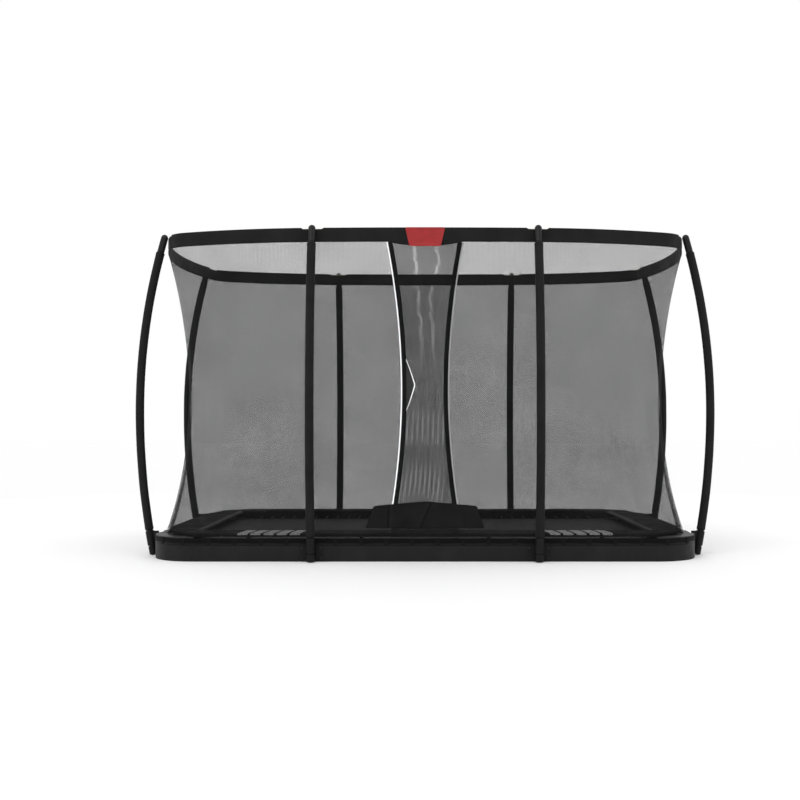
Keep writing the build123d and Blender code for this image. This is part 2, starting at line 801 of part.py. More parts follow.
def entrance_band(side):
    """Webbing band along the free edge of an entrance panel."""

    def outer(rise):
        return -side * entrance_edge(rise)

    def inner(rise):
        return -side * (entrance_edge(rise) - BAND_WIDTH)

    edges = (outer, inner) if side > 0 else (inner, outer)
    return entrance_strip(side, *edges, columns=3)


def entrance_piping(side):
    """Reflective piping just outside the band."""

    def outer(rise):
        return -side * (entrance_edge(rise) + PIPING_RADIUS * 2)

    def inner(rise):
        return -side * (entrance_edge(rise) + SEAM)

    edges = (outer, inner) if side > 0 else (inner, outer)
    return entrance_strip(side, *edges, columns=3, thickness=PIPING_RADIUS, foot=PIPING_FOOT)


def pull_tab():
    """Three-cornered patch on the outer panel, beside its band, that a hand pulls."""
    middle = (TAB_MID_Z - NET_BOTTOM) / (NET_TOP - NET_BOTTOM)
    reach = TAB_LENGTH / 2 / (NET_TOP - NET_BOTTOM)
    outward = NET_THICKNESS + TAB_THICKNESS

    def corner(rise, width):
        x = -entrance_edge(rise) + BAND_WIDTH + SEAM + width
        point = entrance_point(1, x, rise)
        return Vector(point.X, point.Y - outward, point.Z)

    outline = [corner(middle - reach, 0), corner(middle, TAB_WIDTH), corner(middle + reach, 0)]
    return thicken(make_face(Polyline(*outline, close=True)), TAB_THICKNESS / 2, both=True)


def badge():
    """Plain tapered badge on the outside of the top sleeve."""
    top = BADGE_TOP_WIDTH / 2
    low = BADGE_BOTTOM_WIDTH / 2
    half = BADGE_HEIGHT / 2
    outline = make_face(Polyline((-top, half), (top, half), (low, -half), (-low, -half), close=True))
    front_y = -RING_FRONT_Y - TOP_SLEEVE_THICKNESS / 2 - BADGE_THICKNESS
    middle_z = TOP_SLEEVE_BOTTOM + TOP_SLEEVE_HEIGHT - half - SEAM
    return Pos(0, front_y, middle_z) * Rot(90, 0, 0) * extrude(outline, amount=BADGE_THICKNESS)


def flap_plane(rise_y, rise_z):
    """Plane through the flap's hinge line: X to the right, Y up a slope with the given rise."""
    slope = Vector(0, rise_y, rise_z).normalized()
    return Plane(origin=(0, FLAP_HINGE_Y, FLAP_HINGE_Z), x_dir=(1, 0, 0), z_dir=Vector(1, 0, 0).cross(slope))


def threshold_flap():
    """The part of the flap that lifts, from the hinge line down over the foot of the net."""
    rise_y = FLAP_HINGE_Y - FLAP_LOW_Y
    rise_z = FLAP_HINGE_Z - FLAP_LOW_Z
    length = hypot(rise_y, rise_z)
    outline = Polyline(
        (-FLAP_TOP_HALF, -FLAP_CLEARANCE),
        (FLAP_TOP_HALF, -FLAP_CLEARANCE),
        (FLAP_LOW_HALF, -length),
        (-FLAP_LOW_HALF, -length),
        close=True,
    )
    plane = flap_plane(rise_y, rise_z)
    return extrude(plane * make_face(outline), amount=FLAP_THICKNESS / 2, both=True)


def flap_header():
    """The part of the flap above the hinge line, sewn to the outer entrance panel."""
    rise_y = FLAP_PEAK_Y - FLAP_HINGE_Y
    rise_z = FLAP_PEAK_Z - FLAP_HINGE_Z
    outline = Polyline(
        (-FLAP_TOP_HALF, FLAP_CLEARANCE),
        (FLAP_TOP_HALF, FLAP_CLEARANCE),
        (0, hypot(rise_y, rise_z)),
        close=True,
    )
    plane = flap_plane(rise_y, rise_z)
    return extrude(plane * make_face(outline), amount=FLAP_THICKNESS / 2, both=True)


def hem_band(start, end):
    """Webbing round the foot of the net, flat against the rail's outer face."""
    face = FRAME.strip(start + SEAM, end - SEAM, TOUCH, HEM_THICKNESS)
    return upright(face, HEM_BOTTOM, HEM_TOP)


def hem_hook(distance):
    """Flat hook over the hem that catches under the rail."""
    x, y, heading = FRAME.at(distance, HEM_THICKNESS + TOUCH)
    height = HEM_TOP - RAIL_BOTTOM
    hook = Pos(0, -HOOK_THICKNESS / 2, height / 2) * Box(HOOK_WIDTH, HOOK_THICKNESS, height)
    return Pos(x, y, RAIL_BOTTOM) * Rot(0, 0, degrees(heading)) * hook


def hook_distances():
    """Hooks spread evenly along each stretch of frame between two poles, clear of the brackets."""
    distances = []
    for first, last in SPANS.values():
        start = station_distance(FRAME_KNOTS, first) + BRACKET_WIDTH / 2
        end = station_distance(FRAME_KNOTS, last) - BRACKET_WIDTH / 2
        count = ceil((end - start) / HOOK_PITCH)
        distances += [start + (end - start) * (i + 0.5) / count for i in range(count)]
    return distances


def build_entrance():
    save("pull_tab", pull_tab())
    save("badge", badge())
    save("threshold_flap", threshold_flap())
    save("threshold_flap_header", flap_header())


def build_hem():
    straight, corners = frame_sections()
    save_group("net_hem", [hem_band(*span) for span in list(straight.values()) + corners])
    save_group("net_hem_hooks", [hem_hook(distance) for distance in hook_distances()])


def build_net():
    for name, (first, last) in SPANS.items():
        if name != "front":
            save(f"net_panel_{name}", net_wall(first, last))
    save("net_entrance_right", entrance_panel(1))
    save("net_entrance_left", entrance_panel(-1))
    save_group("entrance_bands", [entrance_band(1), entrance_band(-1)])
    save_group("entrance_piping", [entrance_piping(1), entrance_piping(-1)])


if __name__ == "__main__":
    os.makedirs("parts", exist_ok=True)
    build_frame()
    build_mat()
    build_pads()
    build_poles()
    build_top_ring()
    build_net()
    build_entrance()
    build_hem()
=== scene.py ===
from math import asin, cos, exp, floor, hypot, pi, radians, sin, sqrt, tau

import bmesh
import bpy
import numpy as np
from mathutils import Matrix, Vector
from mathutils import noise as simplex


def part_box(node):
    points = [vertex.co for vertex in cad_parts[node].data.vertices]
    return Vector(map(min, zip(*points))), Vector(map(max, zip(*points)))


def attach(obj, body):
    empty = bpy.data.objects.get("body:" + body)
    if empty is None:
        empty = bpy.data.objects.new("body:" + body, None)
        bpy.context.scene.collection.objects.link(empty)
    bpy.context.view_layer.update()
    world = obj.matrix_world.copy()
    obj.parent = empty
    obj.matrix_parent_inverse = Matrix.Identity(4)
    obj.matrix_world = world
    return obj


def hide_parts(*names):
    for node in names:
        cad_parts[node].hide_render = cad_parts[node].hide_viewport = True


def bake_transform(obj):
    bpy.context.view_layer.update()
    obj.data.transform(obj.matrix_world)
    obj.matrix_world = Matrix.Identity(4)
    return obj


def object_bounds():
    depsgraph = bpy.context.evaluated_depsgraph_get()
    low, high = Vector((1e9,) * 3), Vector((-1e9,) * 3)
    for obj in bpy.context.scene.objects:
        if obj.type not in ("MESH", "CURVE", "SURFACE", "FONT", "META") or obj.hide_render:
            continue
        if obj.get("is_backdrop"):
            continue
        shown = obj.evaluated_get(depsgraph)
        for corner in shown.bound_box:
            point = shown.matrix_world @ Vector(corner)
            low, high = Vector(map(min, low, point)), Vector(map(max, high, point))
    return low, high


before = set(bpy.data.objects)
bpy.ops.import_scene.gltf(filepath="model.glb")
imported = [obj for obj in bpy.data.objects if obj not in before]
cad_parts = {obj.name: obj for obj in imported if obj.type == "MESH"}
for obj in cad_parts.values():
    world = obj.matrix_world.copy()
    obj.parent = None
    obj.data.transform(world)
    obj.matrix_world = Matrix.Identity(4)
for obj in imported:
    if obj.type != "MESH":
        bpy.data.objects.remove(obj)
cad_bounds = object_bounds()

# Metres, in the CAD model's own frame: +X along the long side, the entrance faces -Y, +Z up.
UP = Vector((0, 0, 1))
FORWARD = Vector((0, -1, 0))

# ---- Sizes read from the frame ----
HALF_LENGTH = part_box("frame_rail_right")[1].x
HALF_WIDTH = -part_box("frame_rail_front")[0].y
CORNER_RADIUS = HALF_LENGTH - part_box("frame_rail_front")[1].x
RAIL_BOTTOM, RAIL_TOP = (corner.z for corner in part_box("frame_rail_front"))
NET_BOTTOM, NET_TOP = (corner.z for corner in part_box("net_panel_back"))
NET_HEIGHT = NET_TOP - NET_BOTTOM
SLEEVE_LOW, SLEEVE_HIGH = (corner.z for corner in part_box("net_top_sleeve"))
PAD_BOTTOM, PAD_TOP = (corner.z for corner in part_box("edge_pad_front"))
PAD_INNER_X, PAD_INNER_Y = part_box("edge_pad_right")[0].x, -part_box("edge_pad_front")[1].y
MAT_LOW, MAT_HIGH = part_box("jumping_mat")

# ---- Sizes shared with the CAD source ----
POLE_LONG_X = 0.832
POLE_SIDE_Y = 0.815
POLE_STAND_OFF = 0.045
POLE_APEX_Z = 1.100
POLE_APEX_OUT = 0.108
POLE_LOWER_RADIUS = 5.600
POLE_UPPER_RADIUS = 4.830
SLEEVE_RADIUS = 0.0325
SLEEVE_BOTTOM_Z = 0.190
SLEEVE_TOP_Z = 2.335
RING_FRONT_Y = 1.195
RING_TURNS = (2.4, 17.9, 52.7)
RING_CORNER_RADIUS = 0.250
RING_LONG_CHORD = 1.008
TOP_SLEEVE_THICKNESS = 0.014
NET_WAIST = 0.161
NET_FOOT_POWER = 2.25
NET_HEAD_POWER = 1.83
NET_OUTSET = 0.001
NET_CORNER_INSET = 0.090         # how far the net's foot cuts in at each corner
NET_CORNER_START = (1.600, 1.850)
NET_CORNER_END = (2.360, 2.600)
LAYER_GAP = 0.009
ENTRANCE_EDGE_TOP = 0.275
ENTRANCE_EDGE_WAIST = 0.172
BAND_WIDTH = 0.034
PIPING_RADIUS = 0.0045
TAB_LENGTH = 0.380
TAB_WIDTH = 0.062
TAB_MID_Z = 1.300
FLAP_HINGE = (-1.196, 0.4007)
FLAP_LOW = (-1.245, 0.244)
FLAP_PEAK = (-1.182, 0.4388)
FLAP_TOP_HALF = 0.381
FLAP_LOW_HALF = 0.434
MAT_CORNER_CUT = 0.150
WEBBING_WIDTH = 0.050
SPRING_PITCH = 0.104
RING_LENGTH = 0.034
RING_WIDTH = 0.044

PAD_CUT_X = 1.680
PAD_CUT_CORNERS = ((1.935, 0.800), (1.900, 1.035))


# ---- Outlines in plan ----

class PlanPath:
    """Closed outline in plan from the front centre towards +X, as runs that each turn by an angle."""

    def __init__(self, front_y, quarter):
        self.front_y = front_y
        self.runs = (quarter + quarter[::-1]) * 4
        self.quarter_length = sum(length for length, _ in quarter)

    def at(self, distance, offset=0.0):
        """The point at a distance along the path, moved outward by offset, and the heading there."""
        x, y, heading = 0.0, -self.front_y, 0.0
        for length, turn in self.runs:
            part = min(distance / length, 1.0)
            turned = turn * part
            if turn:
                radius = length / turn
                x += radius * (sin(heading + turned) - sin(heading))
                y -= radius * (cos(heading + turned) - cos(heading))
            else:
                x += length * part * cos(heading)
                y += length * part * sin(heading)
            heading += turned
            distance -= length
            if distance <= 0:
                break
        return x + offset * sin(heading), y - offset * cos(heading), heading


def frame_path():
    corner = CORNER_RADIUS
    quarter = [(HALF_LENGTH - corner, 0.0), (corner * pi / 2, pi / 2), (HALF_WIDTH - corner, 0.0)]
    return PlanPath(HALF_WIDTH, quarter)


def ring_path():
    front_turn, long_turn, corner_turn = (radians(turn) for turn in RING_TURNS)
    side_turn = pi / 2 - front_turn - long_turn - corner_turn
    quarter = [
        (POLE_LONG_X / sin(front_turn) * front_turn, front_turn),
        (RING_LONG_CHORD / (2 * sin(long_turn / 2)) * long_turn, long_turn),
        (RING_CORNER_RADIUS * corner_turn, corner_turn),
    ]
    side_y = -PlanPath(RING_FRONT_Y, quarter).at(sum(length for length, _ in quarter))[1]
    quarter.append((side_y / sin(side_turn) * side_turn, side_turn))
    return PlanPath(RING_FRONT_Y, quarter)


FRAME = frame_path()
RING = ring_path()
FRAME_KNOTS = [0.0, POLE_LONG_X, FRAME.quarter_length - POLE_SIDE_Y, FRAME.quarter_length]
RING_KNOTS = [0.0, RING.runs[0][0], sum(run[0] for run in RING.runs[:3]), RING.quarter_length]
STATIONS_PER_LAP = 12           # pole feet and the middles of the four sides

# The net between two poles, by the first and last station; the front one holds the entrance.
SPANS = {
    "corner_front_right": (1, 2),
    "right": (2, 4),
    "corner_back_right": (4, 5),
    "back": (5, 7),
    "corner_back_left": (7, 8),
    "left": (8, 10),
    "corner_front_left": (10, 11),
    "front": (11, 13),
}


def station_distance(knots, station):
    """Distance along a path of a station, counted three to a quarter from the front centre."""
    quarter = floor(station / 3)
    local = station - 3 * quarter
    if quarter % 2:
        local = 3 - local
    low = min(floor(local), 2)
    along = knots[low] + (knots[low + 1] - knots[low]) * (local - low)
    return (quarter + 1) * knots[3] - along if quarter % 2 else quarter * knots[3] + along


def smoothstep(value):
    value = min(max(value, 0.0), 1.0)
    return value * value * (3 - 2 * value)


def foot_inset(distance):
    """How far the net's foot stands in from the frame's face: it cuts across each corner."""
    along = distance % (2 * FRAME.quarter_length)
    along = min(along, 2 * FRAME.quarter_length - along)
    start, end = NET_CORNER_START, NET_CORNER_END
    share = smoothstep((along - start[0]) / (start[1] - start[0]))
    return NET_CORNER_INSET * share * smoothstep((end[1] - along) / (end[1] - end[0]))


def net_point(station, rise, inward=0.0):
    """Point of the net wall at a station, with rise from 0 at the frame to 1 at the top ring."""
    distance = station_distance(FRAME_KNOTS, station)
    low_x, low_y, low_heading = FRAME.at(distance, NET_OUTSET - foot_inset(distance))
    top_x, top_y, top_heading = RING.at(station_distance(RING_KNOTS, station))
    heading = (low_heading + top_heading) / 2
    power = NET_FOOT_POWER if rise < 0.5 else NET_HEAD_POWER
    drawn_in = NET_WAIST * (1 - abs(1 - 2 * rise) ** power) + inward
    x = low_x + (top_x - low_x) * rise - drawn_in * sin(heading)
    y = low_y + (top_y - low_y) * rise + drawn_in * cos(heading)
    return Vector((x, y, NET_BOTTOM + NET_HEIGHT * rise))


# ---- Mesh helpers ----

def add_object(name, data):
    obj = bpy.data.objects.new(name, data)
    bpy.context.scene.collection.objects.link(obj)
    return obj


def spread(first, last, count):
    return [first + (last - first) * i / (count - 1) for i in range(count)]


def bell(value, width):
    """1 where value is 0, falling smoothly away over about width on either side."""
    return exp(-((value / width) ** 2))


class Builder:
    """Collects several tubes or grids and makes one object of them."""

    def __init__(self):
        self.vertices, self.faces, self.uvs = [], [], []

    def quads(self, columns, rows, first, closed_columns=False, closed_rows=False):
        """Quads between points stored column by column from the index first."""
        for i in range(columns if closed_columns else columns - 1):
            for j in range(rows if closed_rows else rows - 1):
                a, b = i * rows, (i + 1) % columns * rows
                c, d = j, (j + 1) % rows
                self.faces.append(tuple(first + k for k in (a + c, b + c, b + d, a + d)))

    def grid(self, columns, rows, place):
        """Open sheet. place(column, row) gives each point and its (u, v) in metres."""
        first = len(self.vertices)
        for point, uv in (place(column, row) for column in columns for row in rows):
            self.vertices.append(point)
            self.uvs.append(uv)
        self.quads(len(columns), len(rows), first)

    def tube(self, centres, section, closed=False):
        """Sweep of a section along centres, each (point, side axis, up axis, distance along).

        section is a closed outline of (side, up) pairs, or gives one for (index, distance)."""
        first = len(self.vertices)
        count = 0
        for i, (point, side, up, along) in enumerate(centres):
            outline = section(i, along) if callable(section) else section
            count = len(outline)
            around = 0.0
            for j, (a, b) in enumerate(outline):
                self.vertices.append(point + side * a + up * b)
                self.uvs.append((along, around))
                c, d = outline[(j + 1) % count]
                around += hypot(c - a, d - b)
        self.quads(len(centres), count, first, closed, True)
        if not closed:
            last = first + (len(centres) - 1) * count
            self.faces.append(tuple(first + j for j in range(count)))
            self.faces.append(tuple(last + count - 1 - j for j in range(count)))

    def build(self, name):
        """Smooth mesh object, with its (u, v) in metres."""
        mesh = bpy.data.meshes.new(name)
        mesh.from_pydata([tuple(v) for v in self.vertices], [], self.faces)
        layer = mesh.uv_layers.new(name="metres")
        for loop in mesh.loops:
            layer.data[loop.index].uv = self.uvs[loop.vertex_index]
        mesh.polygons.foreach_set("use_smooth", [True] * len(mesh.polygons))
        mesh.update()
        return add_object(name, mesh)


def grid_object(name, columns, rows, place):
    builder = Builder()
    builder.grid(columns, rows, place)
    return builder.build(name)


def tube_object(name, centres, section, closed=False):
    builder = Builder()
    builder.tube(centres, section, closed)
    return builder.build(name)


def circle(radius, count):
    return [(radius * cos(tau * j / count), radius * sin(tau * j / count)) for j in range(count)]


def rounded_slot(width, height, count, power):
    """Flattened closed outline: a superellipse of the given size."""

    def reach(size, value):
        return size / 2 * abs(value) ** (2 / power) * (1 if value >= 0 else -1)

    angles = [tau * j / count for j in range(count)]
    return [(reach(width, cos(angle)), reach(height, sin(angle))) for angle in angles]


def rounded_polygon(corners, radius, steps):
    """Corners of a convex outline replaced by small arcs."""
    points = []
    for i, corner in enumerate(corners):
        corner = Vector(corner)
        start = corner + (Vector(corners[i - 1]) - corner).normalized() * radius
        end = corner + (Vector(corners[(i + 1) % len(corners)]) - corner).normalized() * radius
        for t in spread(0, 1, steps):
            points.append((start * (1 - t) ** 2 + corner * 2 * t * (1 - t) + end * t ** 2)[:])
    return points


def walk(points, closed=False):
    """Each point of a line, with its direction there and the distance along it so far."""
    along, count = 0.0, len(points)
    for i, point in enumerate(points):
        if i:
            along += (point - points[i - 1]).length
        ahead = points[(i + 1) % count if closed else min(i + 1, count - 1)]
        behind = points[i - 1 if closed else max(i - 1, 0)]
        yield point, (ahead - behind).normalized(), along


def frames_along(points, up, closed=False):
    """Centres for Builder.tube along points, with the section's up axis kept near a fixed direction."""
    centres = []
    for point, tangent, along in walk(points, closed):
        side = tangent.cross(up).normalized()
        centres.append((point, side, side.cross(tangent).normalized(), along))
    return centres


def path_centre(path, distance, offset, z):
    """Centre for Builder.tube on an outline in plan, with the section's side axis outward."""
    x, y, heading = path.at(distance, offset)
    return Vector((x, y, z)), Vector((sin(heading), -cos(heading), 0)), UP, distance


def apply_modifiers(obj):
    """Replaces the object's mesh with its evaluated one and drops the modifiers."""
    graph = bpy.context.evaluated_depsgraph_get()
    data = bpy.data.meshes.new_from_object(obj.evaluated_get(graph))
    obj.modifiers.clear()
    old = obj.data
    obj.data = data
    bpy.data.meshes.remove(old)


def paint(obj, material):
    obj.data.materials.clear()
    obj.data.materials.append(material)


def finish_piece(obj, nodes, material, body="frame"):
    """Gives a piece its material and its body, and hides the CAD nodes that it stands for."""
    paint(obj, material)
    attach(obj, body)
    if nodes:
        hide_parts(*nodes)
    return obj


# ---- Materials ----

def grey(value):
    return (value, value, value)


def math_node(operation):
    """Method that puts a value, and others if it has them, through a new math node."""

    def apply(*values):
        shader = values[0].shader
        return shader.through(shader.node("ShaderNodeMath", operation=operation), values)

    return apply


class Value:
    """What a socket of a material carries. Arithmetic on it adds math nodes to that material."""

    def __init__(self, shader, socket):
        self.shader, self.socket = shader, socket

    __add__ = math_node("ADD")
    __sub__ = math_node("SUBTRACT")
    __mul__ = math_node("MULTIPLY")
    __truediv__ = math_node("DIVIDE")
    __pow__ = math_node("POWER")
    __gt__ = math_node("GREATER_THAN")
    __lt__ = math_node("LESS_THAN")
    __abs__ = math_node("ABSOLUTE")
    near = math_node("COMPARE")
    highest = math_node("MAXIMUM")
    fraction = math_node("FRACT")
    bounce = math_node("PINGPONG")
    root = math_node("SQRT")
    sine = math_node("SINE")
    cosine = math_node("COSINE")

    def ramp(self, low, high, out_low=0.0, out_high=1.0):
        """Rises from out_low to out_high as the value goes from low to high, and no further."""
        made = self.shader.node("ShaderNodeMapRange", clamp=True)
        return self.shader.through(made, (self, low, high, out_low, out_high))


class Shader:
    """A Principled material with short calls for the nodes that feed it."""

    def __init__(self, name, base, roughness, **constants):
        self.material = bpy.data.materials.new(name)
        self.material.use_nodes = True
        self.tree = self.material.node_tree
        self.surface = self.tree.nodes["Principled BSDF"]
        self.plain, self.roughness = base, roughness
        self.link((*base, 1.0), "Base Color")
        self.link(roughness, "Roughness")
        for socket, value in constants.items():
            self.link(value, socket.replace("_", " "))

    def link(self, value, socket):
        """Feeds a value or a constant to one of the surface's inputs."""
        self.feed(self.surface.inputs[socket], value)

    def feed(self, socket, value):
        if isinstance(value, Value):
            self.tree.links.new(value.socket, socket)
        else:
            socket.default_value = value

    def node(self, kind, **values):
        made = self.tree.nodes.new(kind)
        for key, value in values.items():
            setattr(made, key, value)
        return made

    def through(self, made, values):
        """Feeds a node's inputs in their order and gives its first output."""
        for socket, value in zip(made.inputs, values):
            self.feed(socket, value)
        return Value(self, made.outputs[0])

    def coordinates(self, which="Object"):
        return Value(self, self.node("ShaderNodeTexCoord").outputs[which])

    def split(self, which="Object"):
        made = self.node("ShaderNodeSeparateXYZ")
        self.feed(made.inputs[0], self.coordinates(which))
        return [Value(self, output) for output in made.outputs]

    def noise(self, scale, detail, vector=None, roughness=0.5):
        made = self.node("ShaderNodeTexNoise")
        values = {"Scale": scale, "Detail": detail, "Roughness": roughness}
        for socket, value in {**values, "Vector": vector or self.coordinates()}.items():
            self.feed(made.inputs[socket], value)
        return Value(self, made.outputs["Fac"])

    def mix(self, factor, first, second):
        """Colour between two others, as sockets or as (red, green, blue)."""
        made = self.node("ShaderNodeMix", data_type="RGBA")
        self.feed(made.inputs["Factor"], factor)
        colours = [socket for socket in made.inputs if socket.type == "RGBA"]
        for socket, value in zip(colours, (first, second)):
            self.feed(socket, (*value, 1.0) if isinstance(value, tuple) else value)
        return Value(self, next(socket for socket in made.outputs if socket.type == "RGBA"))

    def shade(self, factor):
        return tuple(channel * factor for channel in self.plain)

    def cloud(self, scale, detail, factor, low=0.35, high=0.7):
        """Lets the base colour drift slowly to another shade of itself."""
        colour = self.mix(self.noise(scale, detail).ramp(low, high), self.plain, self.shade(factor))
        self.link(colour, "Base Color")
        return colour

    def uneven(self, scale, below, above):
        """Lets the roughness drift below and above its plain value."""
        span = self.noise(scale, 3.0).ramp(0.3, 0.7, self.roughness - below, self.roughness + above)
        self.link(span, "Roughness")

    def bump(self, height, distance, strength):
        """Adds relief, distance deep, on top of the relief that is already there."""
        made = self.node("ShaderNodeBump")
        for socket, value in (("Distance", distance), ("Strength", strength), ("Height", height)):
            self.feed(made.inputs[socket], value)
        normal = self.surface.inputs["Normal"]
        if normal.is_linked:
            self.tree.links.new(normal.links[0].from_socket, made.inputs["Normal"])
        self.tree.links.new(made.outputs[0], normal)


def weave(first, second, pitch, other_pitch=None):
    """Plain weave: how high the thread is at a point, from its coordinates in metres."""
    return (first * (tau / pitch)).sine() * (second * (tau / (other_pitch or pitch))).sine()


def powder_coat(name, base=grey(0.0085), roughness=0.45, shade_band_z=None):
    """Satin coat with fine orange peel and faint dust; above an optional height it is painted black, a
    painted shadow for the gap between the panel and the rail.
    """
    shader = Shader(name, base, roughness, Specular_IOR_Level=0.13)
    dust = shader.noise(6.0, 4.0).ramp(0.45, 0.8) * 0.35
    colour = shader.mix(dust, base, shader.shade(2.2))
    if shade_band_z:
        # Painted shadow: black above the given height, for the shade in the gap under the rail.
        colour = shader.mix(shader.split()[2] > shade_band_z, colour, grey(0.0))
    shader.link(colour, "Base Color")
    shader.uneven(14.0, below=0.06, above=0.1)
    shader.bump(shader.noise(900.0, 2.0), 0.0002, 0.5)
    return shader.material


def moulded_plastic(name, base, roughness):
    shader = Shader(name, base, roughness, Specular_IOR_Level=0.18)
    shader.cloud(20.0, 3.0, factor=1.35)
    shader.bump(shader.noise(1400.0, 2.0), 0.00015, 0.5)
    return shader.material


def plated_steel(name, base, roughness):
    """Zinc plating with slight clouding."""
    shader = Shader(name, base, roughness, Metallic=0.9)
    shader.cloud(35.0, 4.0, factor=0.7)
    shader.uneven(80.0, below=0.08, above=0.16)
    return shader.material


def coated_fabric(name, base, roughness=0.55, specular=0.1, on="UV"):
    """Woven polyester with a thin coating: gives its shader and its colour, for more on top."""
    shader = Shader(name, base, roughness, Specular_IOR_Level=specular, Sheen_Weight=specular / 5)
    u, v, _ = shader.split(on)
    colour = shader.cloud(5.0, 4.0, factor=1.5)
    shader.uneven(9.0, below=0.08, above=0.12)
    shader.bump(weave(u, v, 0.0016), 0.00025, 0.6)
    shader.bump(shader.noise(22.0, 3.0), 0.0012, 0.5)
    return shader, colour


def plain_fabric(*look, **more):
    return coated_fabric(*look, **more)[0].material


STRIPE_PITCH = 0.0965
STRIPE_COUNT = 5
STRIPE_START = 0.800
STRIPE_SLANT = 0.12
STRIPE_SHARE = 0.78             # printed part of each pitch
STRIPE_INNER_Y = -0.955
STRIPE_GREY = grey(0.50)
# Half width and grey of the painted highlight along the pads' inner edges at the short ends.
INNER_HIGHLIGHT_HALF = 0.030
INNER_HIGHLIGHT_GREY = grey(0.085)


def pad_cover(name, base):
    """Pad fabric with a plain broken stripe near each end of the front pad, and a pale band painted along the
    inner edges at the two short ends as a painted highlight.
    """
    shader, colour = coated_fabric(name, base, roughness=0.6, specular=0.03, on="Object")
    x, y, z = shader.split()
    count = (abs(x) + (y + z) * STRIPE_SLANT - STRIPE_START) / STRIPE_PITCH
    dash = (count.fraction() < STRIPE_SHARE) * count.near(STRIPE_COUNT / 2, STRIPE_COUNT / 2)
    printed = dash * ((y < STRIPE_INNER_Y) * (z > (PAD_BOTTOM + PAD_TOP) / 2))
    # Painted highlight: a pale band along the inner edges at both short ends, where light catches the pads'
    # inner faces.
    inner_highlight = (abs(y) < PAD_INNER_Y) * abs(x).near(PAD_INNER_X, INNER_HIGHLIGHT_HALF)
    shader.link(shader.mix(printed, shader.mix(inner_highlight, colour, INNER_HIGHLIGHT_GREY), STRIPE_GREY), "Base Color")
    return shader.material


# For each crease: place across the flap, slope, half width of its painted shade, and where the painted
# highlight on the ridge beside it runs.
FLAP_CREASES = ((-0.268, -0.03, 0.009, 0.018), (0.034, -0.42, 0.012, -0.022))
CREASE_SHADE_BLACK = grey(0.0004)


def flap_cover(name, base):
    """Flap fabric with two folded-in creases painted near black as shade, darker at their bottom, each beside
    a soft ridge painted lighter as a highlight.
    """
    shader, colour = coated_fabric(name, base, roughness=0.65)
    u, v, _ = shader.split("UV")
    for place, slope, half, highlight_shift in FLAP_CREASES:
        apart = v * -slope + u - place
        # Painted highlight along the ridge beside the crease.
        colour = shader.mix(abs(apart - highlight_shift).ramp(0.016, 0.004), colour, shader.shade(1.7))
        # Painted shade: near black in the crease itself.
        colour = shader.mix(abs(apart).ramp(half, half / 3, 0.0, 0.9), colour, CREASE_SHADE_BLACK)
    shader.link(colour, "Base Color")
    return shader.material


def webbing(name, base=grey(0.0062), stitched=True):
    """Narrow ribbed webbing, with a row of stitches near each edge."""
    shader = Shader(name, base, 0.72, Specular_IOR_Level=0.08, Sheen_Weight=0.02)
    u, v, _ = shader.split("UV")
    shader.bump(weave(u, v, 0.0026, 0.0018), 0.0003, 0.7)
    if stitched:
        stitch = ((u * (tau / 0.007)).sine() > -0.2) * v.bounce(0.016).near(0.0045, 0.0008)
        shader.link(shader.mix(stitch, base, shader.shade(4)), "Base Color")
    return shader.material


NET_BLACK = grey(0.008)
KNIT_PITCH = 0.0042
KNIT_THREAD = 0.33              # thread width as a share of the pitch


def knitted_net(name, grain=0.0, highlight_thinning=None):
    """Open mesh of crossing threads, turned by grain degrees; the optional mask function, given (shader, u,
    v), says how far, from 0 to 1, the threads are thinned at a place: a painted highlight, the white behind
    showing through along creases."""
    shader = Shader(name, NET_BLACK, 0.7, Specular_IOR_Level=0.05)
    u, v, _ = shader.split("UV")
    half_thread = (shader.noise(3.0, 2.0) - 0.5) * 0.05 + KNIT_THREAD / 2
    if highlight_thinning:
        # Painted highlight: thinner threads where the mask is high, so the net looks lighter along its
        # creases.
        half_thread = half_thread * highlight_thinning(shader, u, v).ramp(0.0, 1.0, 1.0, 0.02)
    threads = []
    for turn in (radians(45.0 + grain), radians(-45.0 + grain)):
        across = v * (sin(turn) * sqrt(2) / KNIT_PITCH) + u * (cos(turn) * sqrt(2) / KNIT_PITCH)
        threads.append(abs(across.fraction() - 0.5) < half_thread)
    shader.link(threads[0].highest(threads[1]), "Alpha")
    shader.cloud(4.0, 3.0, factor=1.6)
    return shader.material


def long_crease_highlights(shader, u, v):
    """Painted highlights along two creases that wander down from the entrance's top to about half height."""
    lines = []
    for seed, (place, top_shift) in zip((0.0, 3.7), ((0.776, -0.090), (0.862, -0.010))):
        row = shader.through(shader.node("ShaderNodeCombineXYZ"), (0.0, v, seed))
        sway = shader.noise(15.0, 3.0, row, roughness=0.7) - 0.5
        middle = sway * 0.090 + place + v.ramp(1.78, 2.04, 0.0, top_shift)
        lines.append(abs(u - middle).ramp(0.018, 0.003))
    return lines[0].highest(lines[1]) * v.ramp(1.22, 1.46)


# For each row of pleats painted as highlights: pitch, lowest and highest height, how much the row bows, and
# its depth.
PLEAT_ROWS = ((0.039, 0.66, 0.98, 1.5, 0.85), (0.034, 0.28, 0.58, 4.0, 1.0))


def short_crease_highlights(u, v):
    """Painted highlights on faint pleats at hand height and lower down, where the two entrance panels bunch
    up.
    """
    arch = (u - 0.835) ** 2.0
    rows = []
    for pitch, low, high, bow, depth in PLEAT_ROWS:
        height = arch * bow + v
        wave = (u * (tau / pitch)).cosine().ramp(0.0, 0.9)
        rows.append(wave * (height.ramp(low, low + 0.08) * height.ramp(high, high - 0.10)) * depth)
    return rows[0].highest(rows[1])


